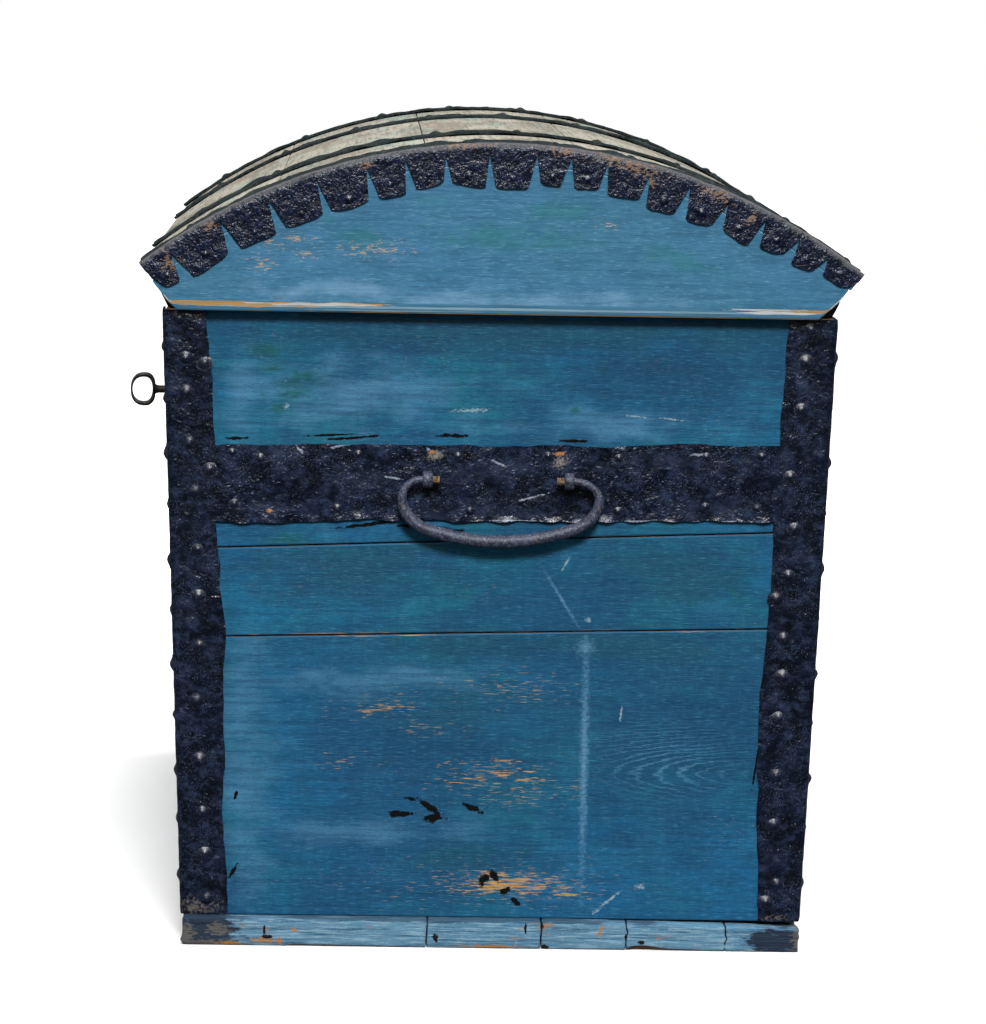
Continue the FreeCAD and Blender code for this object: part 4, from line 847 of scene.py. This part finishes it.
for end, flip in (("right", False), ("left", True)):
    seed = 83 + 4 * flip

    def strap_shape(u, v):
        along = STRAP_LENGTH * u
        return along, across_strap(along, v, seed, min(1, 20 * (1 - u)))

    def strap_lift(along, v):
        near = max(0.0, 1 - min(v, 1 - v) / WAVE_REACH)
        crest = wave(along, seed if v < 0.5 else seed + 50)
        return WAVE_HEIGHT * near * near * crest * min(1.0, max(0.0, (ARC_LENGTH - along) / 0.02))

    strap = forged((240, 16), strap_shape, on_dome, seed, lift=strap_lift)
    billet(strap, (KNUCKLE_LENGTH, IRON, 0.0095),
           (STRAP_INNER + STRAP_WIDTH / 2, HINGE.y + KNUCKLE - IRON / 2, 0.5533))
    rolled_knuckle(strap, STRAP_INNER + KNUCKLE_PITCH)
    mirror_across(strap, flip)
    as_piece(f"lid_hinge_strap_{end}_forged", strap, (strap_iron,), "lid",
             (f"lid_hinge_strap_{end}",), smooth=50)

# The snips between the tabs, in degrees round the dome from its crown, and each tab's length.
TAB_CUTS = (-38.2, -35.1, -29.3, -24.0, -18.8, -13.8, -9.8, -5.8, -1.4, 3.3, 6.7, 10.4, 14.7, 18.8,
            22.9, 27.1, 30.9, 34.3, 38.2)
TAB_REACH = (0.032, 0.036, 0.0385, 0.0387, 0.039, 0.037, 0.034, 0.037, 0.0395, 0.035, 0.0335, 0.035,
             0.0378, 0.0345, 0.034, 0.030, 0.027, 0.022)
FOLD = 0.0035
COVER = STRAP_WIDTH - FOLD
FOLD_END = COVER + FOLD * math.pi / 2


def folded(depth, angle, lift):
    """A point of an end strap: depth runs from its inner edge over the fold and down the gable."""
    if depth < COVER:
        x, radius = GABLE_FACE + IRON - STRAP_WIDTH + depth, DOME_RADIUS + lift
    elif depth < FOLD_END:
        turn = (depth - COVER) / FOLD
        x = GABLE_FACE + IRON - FOLD + (FOLD - IRON + lift) * math.sin(turn)
        radius = DOME_RADIUS + IRON - FOLD + (FOLD - IRON + lift) * math.cos(turn)
    else:
        x, radius = GABLE_FACE + lift, DOME_RADIUS + IRON - FOLD - (depth - FOLD_END)
    return Vector((x, radius * math.sin(angle), DOME_LEVEL + radius * math.cos(angle)))


for end, flip in (("right", False), ("left", True)):
    strap = bmesh.new()
    rand = random.Random(5 + flip)
    for tab, reach in enumerate(TAB_REACH):
        first, last = math.radians(TAB_CUTS[tab]), math.radians(TAB_CUTS[tab + 1])
        snip = (rand.uniform(0.0040, 0.0064), rand.uniform(0.0040, 0.0064))
        slant = rand.uniform(-0.002, 0.002)
        root = rand.uniform(0.003, 0.007)
        seed = 120 + tab + 30 * flip

        def tab_shape(u, v):
            depth = (FOLD_END + reach - FOLD) * u ** 0.9
            below = max(0.0, depth - FOLD_END)
            depth -= 0.0026 * abs(2 * v - 1) ** 5 * max(0.0, below / reach)
            if u > 0.999:
                depth += slant * (v - 0.5) * 2 + ragged(v * 0.03, seed, 0.0022)
            snipped = min(1.0, max(0.0, (below - root) / max(reach - root - FOLD, 0.01)))
            rough = min(1, snipped * 4)
            low = first + (snipped * snip[0] + ragged(depth, seed, 0.0009) * rough) / DOME_RADIUS
            high = last - (snipped * snip[1] - ragged(depth, seed + 1, 0.0009) * rough) / DOME_RADIUS
            return depth, low + (high - low) * v

        def tab_lift(depth, v):
            inner = max(0.0, 1 - depth / 0.012)
            along = (first + (last - first) * v) * DOME_RADIUS + ARC_LENGTH / 2
            return WAVE_HEIGHT * inner * inner * wave(along, 97)

        part = bmesh.new()
        bmesh.ops.create_grid(part, x_segments=26, y_segments=10, size=0.5)
        for vert in part.verts:
            u, v = vert.co.x + 0.5, vert.co.y + 0.5
            vert.co.x, vert.co.y = tab_shape(u, v)
            vert.co.z = tab_lift(vert.co.x, v)
        join_on(strap, part)
    bmesh.ops.remove_doubles(strap, verts=strap.verts, dist=2e-6)
    top, under = thickened(strap)
    for verts, thickness in ((top, IRON), (under, 0.0)):
        for vert in verts:
            depth, angle, lift = vert.co
            if thickness:
                spot = Vector((depth, angle * DOME_RADIUS, 3.1 + flip))
                lift += 0.0006 * noise.noise(spot / 0.011) + 0.0003 * noise.noise(spot / 0.005)
            vert.co = folded(depth, angle, lift + thickness)
    bmesh.ops.recalc_face_normals(strap, faces=strap.faces)
    for face in strap.faces:
        face.material_index = face.calc_center_median().x < GABLE_FACE - 0.001
    mirror_across(strap, flip)
    as_piece(f"lid_edge_strap_{end}_forged", strap, (tab_iron, strap_iron), "lid",
             (f"lid_edge_strap_{end}",), smooth=50)

# ---------------------------------------------------------------------------------------------
# Nails.  Hand-made, with low uneven heads painted over with the iron: 12 to 18 mm across on the
# corners and long straps, 7 to 13 mm on the end bands and tabs.
# ---------------------------------------------------------------------------------------------
# Painted heads: the thickest, smoothest black paint, so that they shine.
HEAD_PAINT = [
    dict(size=5, band=(0.34, 0.70), colour="#0d1730", share=0.8, relief=0.20),
    dict(size=2.4, band=(0.52, 0.70), colour="#28365a", share=0.6, detail=4),
    dict(size=1.0, band=(0.64, 0.72), colour="#a4adbc", share=0.7),
    dict(size=3, band=(0.66, 0.72), colour="#6a4a38", share=0.7, rough=0.7),
]
head_iron = laid_up("black_paint_on_nail_heads", "Y", "#050b18", 0.36, HEAD_PAINT, 0.34)
HEAD_RADIUS = 0.0074
HEAD_HEIGHT = 0.0027
NAIL_MARGIN = 0.010
NAIL_STAGGER = 0.009


def drive(made, point, direction, rand, size=1.0):
    """One nail head seated at a point, facing a direction."""
    radius = HEAD_RADIUS * size * rand.uniform(0.85, 1.12)
    height = HEAD_HEIGHT * size * rand.uniform(0.8, 1.15)
    turn = Vector(direction).to_track_quat("Z", "Y").to_matrix().to_4x4()
    tilt = Matrix.Rotation(rand.uniform(-0.12, 0.12), 4, "X")
    roll = Matrix.Rotation(rand.uniform(0, 6.2), 4, "Z")
    place = Matrix.Translation(Vector(point)) @ turn @ (tilt @ roll)
    head = bmesh.ops.create_uvsphere(made, u_segments=12, v_segments=10, radius=1.0)
    for vert in head["verts"]:
        out = math.hypot(vert.co.x, vert.co.y)
        rise = 0.5 + 0.5 * math.cos(math.pi * out) if vert.co.z >= -1e-6 else -0.35
        vert.co = place @ Vector((vert.co.x * radius, vert.co.y * radius, rise * height))


def spread(low, high, pitch):
    """Evenly spread places from low to high, about one pitch apart."""
    steps = max(1, round((high - low) / pitch))
    return [low + (high - low) * step / steps for step in range(steps + 1)]


# The nails of the right end, as (y, z): driven by eye, so they keep no even spacing.
RIGHT_FRONT_NAILS = ((-0.2759, 0.5415), (-0.2703, 0.5076), (-0.2540, 0.5036), (-0.2691, 0.4784),
                     (-0.2660, 0.4345), (-0.2486, 0.4123), (-0.2604, 0.3922), (-0.2581, 0.3429),
                     (-0.2568, 0.3021), (-0.2554, 0.2587), (-0.2574, 0.2107), (-0.2542, 0.1593),
                     (-0.2511, 0.1138), (-0.2490, 0.0770), (-0.2468, 0.0375))
RIGHT_BACK_NAILS = ((0.2669, 0.5405), (0.2634, 0.5126), (0.2601, 0.4711), (0.2520, 0.4130),
                    (0.2565, 0.3680), (0.2523, 0.3271), (0.2419, 0.3068), (0.2492, 0.2721),
                    (0.2491, 0.2390), (0.2465, 0.2031), (0.2459, 0.1522), (0.2443, 0.1092),
                    (0.2481, 0.0573), (0.2393, 0.0413))
RIGHT_BAND_NAILS = ((-0.2290, 0.4270), (-0.2050, 0.4225), (-0.1385, 0.3800), (-0.1210, 0.4270),
                    (-0.0240, 0.3790), (-0.0350, 0.4265), (0.0430, 0.4280), (0.1036, 0.3810),
                    (0.1036, 0.4270), (0.1790, 0.3860), (0.1790, 0.4290), (0.2270, 0.4300),
                    (-0.2270, 0.3830), (0.2240, 0.3850))
rand = random.Random(21)
band_face = END_FACE + IRON
heights = spread(BATTEN_TOP + NAIL_MARGIN, RIM_HEIGHT - NAIL_MARGIN, 0.046)
corner = bmesh.new()
for y, z in RIGHT_FRONT_NAILS + RIGHT_BACK_NAILS:
    drive(corner, (band_face, y, z), (1, 0, 0), rand)
for index, height in enumerate(heights):
    across = side_at(height) + IRON - 0.0215 + NAIL_STAGGER * (-1) ** index
    for sign in (-1, 1):
        drive(corner, (-band_face, sign * across, height + rand.uniform(-0.004, 0.004)), (-1, 0, 0), rand)
for index, (below, above) in enumerate(zip(heights, heights[1:])):
    height = (below + above) / 2
    along = band_face - 0.023 + NAIL_STAGGER * (-1) ** index
    for sign_x in (-1, 1):
        for sign_y in (-1, 1):
            drive(corner, (sign_x * along, sign_y * (side_at(height) + IRON), height),
                  (0, sign_y, -LEAN), rand, 1.1)
as_piece("corner_nail_heads", corner, (head_iron,), "chest_body", ("corner_nails",),
         smooth=60)

EYE_Y = 0.061
band_heads = bmesh.new()
for y, z in RIGHT_BAND_NAILS:
    drive(band_heads, (band_face, y, z), (1, 0, 0), rand, 0.62)
for level in (0.3815, 0.4270):
    for across in spread(-0.229, 0.229, 0.069):
        if abs(abs(across) - EYE_Y) > 0.012:
            drive(band_heads, (-band_face, across + rand.uniform(-0.006, 0.006),
                               level + band_rise(across) + rand.uniform(-0.004, 0.004)),
                  (-1, 0, 0), rand, 0.8)
as_piece("end_band_nail_heads", band_heads, (head_iron,), "chest_body", ("end_band_nails",),
         smooth=60)

STRAP_MIDDLE = STRAP_INNER + STRAP_WIDTH / 2
front_heads = bmesh.new()
back_heads = bmesh.new()
for index, height in enumerate(heights):
    for sign in (-1, 1):
        along = sign * (STRAP_MIDDLE + NAIL_STAGGER * (-1) ** index)
        surface = side_at(height) + IRON
        drive(front_heads, (along, -surface, height), (0, -1, -LEAN), rand)
        if LEAF_FOOT + NAIL_MARGIN <= height <= LEAF_TOP - NAIL_MARGIN:
            drive(back_heads, (along, surface, height), (0, 1, -LEAN), rand)
as_piece("front_band_nail_heads", front_heads, (head_iron,), "chest_body", ("front_band_nails",),
         smooth=60)
as_piece("back_strap_nail_heads", back_heads, (head_iron,), "chest_body", ("back_strap_nails",),
         smooth=60)

strap_heads = bmesh.new()
for tab in range(1, len(TAB_REACH), 2):
    angle = TIP * ((2 * tab + 1) / len(TAB_REACH) - 1)
    outward = Vector((0, math.sin(angle), math.cos(angle)))
    for sign in (-1, 1):
        along = sign * (STRAP_MIDDLE + NAIL_STAGGER * (-1) ** (tab // 2))
        drive(strap_heads, Vector((along, 0, DOME_LEVEL)) + outward * (DOME_RADIUS + IRON), outward, rand)
as_piece("lid_strap_nail_heads", strap_heads, (strap_iron,), "lid", ("lid_strap_nails",),
         smooth=60)

for end, sign in (("right", 1), ("left", -1)):
    edge_heads = bmesh.new()
    for tab, reach in enumerate(TAB_REACH):
        angle = math.radians((TAB_CUTS[tab] + TAB_CUTS[tab + 1]) / 2)
        radius = DOME_RADIUS + IRON - reach + 0.009 + rand.uniform(-0.002, 0.002)
        drive(edge_heads, (sign * (GABLE_FACE + IRON), radius * math.sin(angle),
                           DOME_LEVEL + radius * math.cos(angle)), (sign, 0, 0), rand,
              0.75 if tab in (7, 12, 13) else 0.55)
        if tab % 2:
            outward = Vector((0, math.sin(angle), math.cos(angle)))
            drive(edge_heads, Vector((sign * 0.531, 0, DOME_LEVEL)) + outward * (DOME_RADIUS + IRON),
                  outward, rand)
    for face in edge_heads.faces:
        face.material_index = abs(face.calc_center_median().x) < GABLE_FACE - 0.001
    as_piece(f"lid_edge_nail_heads_{end}", edge_heads, (tab_iron, strap_iron), "lid",
             (f"lid_edge_nails_{end}",), smooth=60)

# ---------------------------------------------------------------------------------------------
# Bail handles.  A bar drawn down at its ends and thick in the middle, hooked through two eyes.
# ---------------------------------------------------------------------------------------------
BAIL_PLANE = 0.553
BAIL_LEVEL = 0.407
HOOK_END = 0.0505


def bail_line(stretch):
    """Points of the bail from the middle of its bottom to the end of one hook, as (y, z): a wide
    arc for the bottom, a tighter one for the side and a quarter turn into the hook."""
    side_y, side_radius, drop = 0.053, 0.028, 0.037
    hook_y, hook_radius = 0.065, 0.016
    level = BAIL_LEVEL - hook_radius
    bottom_radius = (side_y ** 2 + drop ** 2 - side_radius ** 2) / (2 * (drop - side_radius))
    bottom_z = level - drop + bottom_radius
    meet = math.atan2(level - bottom_z, side_y)
    arcs = ((0, bottom_z, bottom_radius, -math.pi / 2, meet, 12),
            (side_y, level, side_radius, meet, 0, 10),
            (hook_y, level, hook_radius, 0, math.pi / 2, 8))
    points = []
    for y, z, radius, start, stop, steps in arcs:
        for step in range(steps):
            angle = start + (stop - start) * step / steps
            points.append((y + radius * math.cos(angle), z + radius * math.sin(angle)))
    points.append((hook_y, BAIL_LEVEL))
    points = [(y * through(((0, 1), (0.06, 1), (0.081, stretch)), y), z) for y, z in points]
    return points + [(0.058, BAIL_LEVEL), (HOOK_END, BAIL_LEVEL)]


def swept_bar(points, resolution, closed=False):
    """A round bar drawn along (x, y, z, radius) points."""
    curve = bpy.data.curves.new("bar_line", "CURVE")
    curve.dimensions = "3D"
    curve.bevel_depth = 1.0
    curve.bevel_resolution = resolution
    curve.use_fill_caps = not closed
    spline = curve.splines.new("POLY")
    spline.points.add(len(points) - 1)
    for point, (x, y, z, radius) in zip(spline.points, points):
        point.co = (x, y, z, 1)
        point.radius = radius
    spline.use_cyclic_u = closed
    holder = bpy.data.objects.new("bar", curve)
    bpy.context.scene.collection.objects.link(holder)
    mesh = bpy.data.meshes.new_from_object(holder.evaluated_get(bpy.context.evaluated_depsgraph_get()))
    made = bmesh.new()
    made.from_mesh(mesh)
    bpy.data.objects.remove(holder)
    bpy.data.curves.remove(curve)
    bpy.data.meshes.remove(mesh)
    return made


# Handled iron: the black paint worn to a blue-grey, brown where it is down to the metal.
HANDLE_PAINT = [
    dict(size=12, band=(0.36, 0.66), colour="#343a4e", share=0.85, relief=0.3),
    dict(size=2.6, band=(0.46, 0.66), colour="#525a70", share=0.7, relief=0.1),
    dict(size=1.2, band=(0.58, 0.68), colour="#8a90a2", share=0.7),
    dict(size=1.5, band=(0.60, 0.72), colour="#10131f", share=0.8, relief=-0.08),
    dict(size=5, band=(0.62, 0.72), colour="#665545", share=0.8, rough=0.75),
]
handle_iron = laid_up("handled_black_iron", "Y", "#1d2132", 0.5, HANDLE_PAINT, 0.3)
# The ends of the hooks, where the eyes rub: scaly rust with the paint gone.
RUSTY_END = [
    dict(size=2.5, band=(0.46, 0.62), colour="#8c7a60", share=0.9, relief=0.2, detail=5),
    dict(size=2, band=(0.52, 0.62), colour="#2a2626", share=0.9, relief=-0.2, detail=5),
    dict(size=3, band=(0.58, 0.66), colour="#a87838", share=0.7),
]
rusty_end = laid_up("rusty_hook_end", "Y", "#554a40", 0.8, RUSTY_END, 0.15)
# Section of an eye's ring, as (across, out) from its middle.
EYE_OUTLINE = ((-0.0036, 0.0040), (0.0036, 0.0040), (0.0043, 0.0048), (0.0041, 0.0066),
               (0.0026, 0.0074), (-0.0026, 0.0074), (-0.0041, 0.0066), (-0.0043, 0.0048))
for end, sign in (("right", 1), ("left", -1)):
    near, far = bail_line(1.02), bail_line(1.072)
    if sign < 0:
        near, far = far, near
    line = []
    for y, z in [(-y, z) for y, z in reversed(near[1:])] + far:
        below = min(max((0.400 - z) / 0.040, 0.0), 1.0)
        line.append((sign * BAIL_PLANE, y, z, 0.0033 + 0.0024 * below ** 0.8))
    bar = swept_bar(line, 4)
    bmesh.ops.remove_doubles(bar, verts=bar.verts, dist=1e-6)
    bmesh.ops.subdivide_edges(bar, edges=bar.edges[:], cuts=1, use_grid_fill=True)
    for vert in bar.verts:
        if vert.co.z < BAIL_LEVEL - 0.006:
            vert.co += vert.normal * noise.noise(vert.co / 0.009) * 0.0004
    for face in bar.faces:
        centre = face.calc_center_median()
        face.material_index = abs(centre.y) < EYE_Y - 0.0035 and centre.z > BAIL_LEVEL - 0.006
    bmesh.ops.recalc_face_normals(bar, faces=bar.faces)
    as_piece(f"bail_{end}_forged", bar, (handle_iron, rusty_end), f"bail_{end}", (f"bail_{end}",),
             smooth=60)
    eyes = bmesh.new()
    for y in (-EYE_Y, EYE_Y):
        outline = [(sign * BAIL_PLANE, y + across, BAIL_LEVEL + out) for across, out in EYE_OUTLINE]
        eye = turned_ring(outline, (sign * BAIL_PLANE, y, BAIL_LEVEL), (0, 1, 0), 26)
        billet(eye, (0.0100, 0.0062, 0.0084), (sign * 0.5438, y, BAIL_LEVEL))
        for vert in eye.verts:
            vert.co += Vector((1, 0.6, 1)) * noise.noise(vert.co / 0.004) * 0.00025
        bmesh.ops.recalc_face_normals(eye, faces=eye.faces)
        join_on(eyes, eye)
    as_piece(f"bail_eyes_{end}_forged", eyes, (handle_iron,), "chest_body", (f"bail_eyes_{end}",),
             smooth=60)

# ---------------------------------------------------------------------------------------------
# Lock.  A plate with a keyhole on the front, a case and bolt inside, a catch on the lid's rail,
# and a key with an oval bow; dark iron, bright only where hands and the bit rub.
# ---------------------------------------------------------------------------------------------
# Bare iron: gone dark brown-black, with a dull polish on its high spots.
BARE_IRON = [
    dict(size=6, band=(0.42, 0.66), colour="#37302c", share=0.9, relief=0.2),
    dict(size=1.6, band=(0.55, 0.70), colour="#5b4a3e", share=0.6, relief=0.05),
    dict(size=12, band=(0.58, 0.70), colour="#57504a", share=0.6, rough=0.36),
]
bare_iron = laid_up("dark_worn_iron", "X", "#1d1b1c", 0.5, BARE_IRON, 0.5, 0.6)
refinish("lock_plate", black_iron)
for node in ("lock_case", "lock_bolt", "lid_catch"):
    refinish(node, bare_iron)

KEY_LEVEL = 0.436
BOW_MIDDLE = -0.3290
BOW_HALF_HEIGHT = 0.0139
BOW_POINTS = 48
# Half section of the shank, as (y, radius), from its collar to its tip.
SHANK_OUTLINE = ((-0.3196, 0.0), (-0.3196, 0.0062), (-0.3176, 0.0046), (-0.3150, 0.0037),
                 (-0.3100, 0.0036), (-0.2900, 0.0034), (-0.2600, 0.0028), (-0.2388, 0.0024),
                 (-0.2380, 0.0018), (-0.2380, 0.0))
# The bit: two teeth and a shorter one between them, as y from, y to and reach below the middle.
BIT_BLOCKS = ((-0.2575, -0.2535, 0.0150), (-0.2536, -0.2504, 0.0112), (-0.2505, -0.2465, 0.0150))
BIT_THICKNESS = 0.0030
BIT_ROOT = 0.0020
bow_line = []
for step in range(BOW_POINTS):
    angle = 2 * math.pi * step / BOW_POINTS
    cosine, sine = math.cos(angle), math.sin(angle)
    half, flat = (0.0100, 0.70) if cosine > 0 else (0.0116, 0.95)
    y = BOW_MIDDLE + half * math.copysign(abs(cosine) ** flat, cosine)
    z = KEY_LEVEL + BOW_HALF_HEIGHT * math.copysign(abs(sine) ** 0.85, sine)
    bow_line.append((0, y, z, 0.0010 + 0.0014 * abs(sine) ** 1.5 + 0.0006 * max(cosine, 0)))
key = swept_bar(bow_line, 3, closed=True)
shank = bmesh.new()
line = [shank.verts.new((0, y, KEY_LEVEL + radius)) for y, radius in SHANK_OUTLINE]
bmesh.ops.spin(shank, geom=line + [shank.edges.new(pair) for pair in zip(line, line[1:])],
               cent=(0, 0, KEY_LEVEL), axis=(0, 1, 0), angle=2 * math.pi, steps=20, use_merge=True)
bmesh.ops.remove_doubles(shank, verts=shank.verts, dist=1e-6)
for start, stop, reach in BIT_BLOCKS:
    billet(shank, (BIT_THICKNESS, stop - start, reach - BIT_ROOT),
           (0, (start + stop) / 2, KEY_LEVEL - (reach + BIT_ROOT) / 2))
bmesh.ops.recalc_face_normals(shank, faces=shank.faces)
join_on(key, shank)
as_piece("key_forged", key, (bare_iron,), "key", ("key",), smooth=50)

# ---------------------------------------------------------------------------------------------
# Studio.  A pale floor in a white surround, four soft suns (one strong from the right end, three
# weaker from above, front and back), a softbox behind the left end, one that only puts glints on
# the iron, and the camera facing the right end.
# ---------------------------------------------------------------------------------------------
floor_mesh = bpy.data.meshes.new("studio_floor")
sheet = bmesh.new()
bmesh.ops.create_grid(sheet, x_segments=1, y_segments=1, size=14.0)
sheet.to_mesh(floor_mesh)
sheet.free()
floor_mesh.materials.append(laid_up("pale_matt_studio_paper", "X", "#f1f1ef", 0.9, [
    dict(size=900, band=(0.3, 0.7), colour="#efefee", share=0.5),
    dict(size=3, band=(0.3, 0.7), relief=0.02)]))
floor = bpy.data.objects.new("studio_floor", floor_mesh)
bpy.context.scene.collection.objects.link(floor)

world = bpy.data.worlds.new("studio")
bpy.context.scene.world = world
world.use_nodes = True
sky = world.node_tree
sky.nodes.clear()
rays = add(sky, "LightPath").node.outputs
soft = add(sky, "Background", Color=(1, 1, 1, 1), Strength=0.15)
dim = add(sky, "Background", Color=(1, 1, 1, 1), Strength=0.10)
plain = add(sky, "Background", Color=(1, 1, 1, 1), Strength=1.0)
lit = add(sky, "MixShader", rays["Is Glossy Ray"], soft, dim)
add(sky, "OutputWorld", add(sky, "MixShader", rays["Is Camera Ray"], lit, plain))
floor.visible_diffuse = False
floor.visible_glossy = False


def lamp(name, kind, toward, power, size, spot=(0, 0, 0)):
    """A sun or a square softbox whose light travels from toward's side to the chest."""
    light = bpy.data.lights.new(name, kind)
    light.energy = power
    if kind == "SUN":
        light.angle = math.radians(size)
    else:
        light.size = size
    holder = bpy.data.objects.new(name, light)
    holder.location = spot
    holder.rotation_euler = Vector(toward).to_track_quat("Z", "Y").to_euler()
    bpy.context.scene.collection.objects.link(holder)
    return holder


lamp("key_light", "SUN", (0.76, 0.05, 0.62), 3.7, 15)
lamp("overhead_light", "SUN", (0.05, 0.02, 1.0), 1.4, 40)
lamp("lock_side_light", "SUN", (-0.05, -0.80, 0.62), 1.4, 35)
lamp("hinge_side_light", "SUN", (-0.05, 0.80, 0.62), 1.4, 35)
far_end = lamp("far_end_light", "AREA", (-1, 0, 0), 46, 1.6, (-3.3, 0.2, 0.35))
far_end.visible_camera = False
far_end.visible_glossy = False
glint = lamp("glint_light", "AREA", (0.80, -0.05, 0.60), 70, 1.5, (2.7, -0.15, 2.0))
glint.visible_diffuse = False

CAMERA_SPOT = Vector((5.0, -0.11451, 0.84745))
CAMERA_YAW = 0.024780
CAMERA_PITCH = 0.104727
CAMERA_ROLL = 0.017612
FOCAL_PIXELS = 5202.2
PICTURE_HEIGHT_PIXELS = 1024
SENSOR = 36
camera_data = bpy.data.cameras.new("camera")
camera_data.sensor_width = SENSOR
camera_data.lens = FOCAL_PIXELS / PICTURE_HEIGHT_PIXELS * SENSOR
camera_data.clip_end = 60
camera = bpy.data.objects.new("camera", camera_data)
ahead = Vector((-math.cos(CAMERA_YAW) * math.cos(CAMERA_PITCH),
                math.sin(CAMERA_YAW) * math.cos(CAMERA_PITCH), -math.sin(CAMERA_PITCH)))
level = Vector((math.sin(CAMERA_YAW), math.cos(CAMERA_YAW), 0))
upward = level.cross(ahead)
right = level * math.cos(CAMERA_ROLL) + upward * math.sin(CAMERA_ROLL)
top_side = upward * math.cos(CAMERA_ROLL) - level * math.sin(CAMERA_ROLL)
camera.matrix_world = Matrix((
    (right.x, top_side.x, -ahead.x, CAMERA_SPOT.x),
    (right.y, top_side.y, -ahead.y, CAMERA_SPOT.y),
    (right.z, top_side.z, -ahead.z, CAMERA_SPOT.z),
    (0, 0, 0, 1)))
bpy.context.scene.collection.objects.link(camera)
bpy.context.scene.camera = camera
bpy.context.scene.view_settings.view_transform = "Standard"
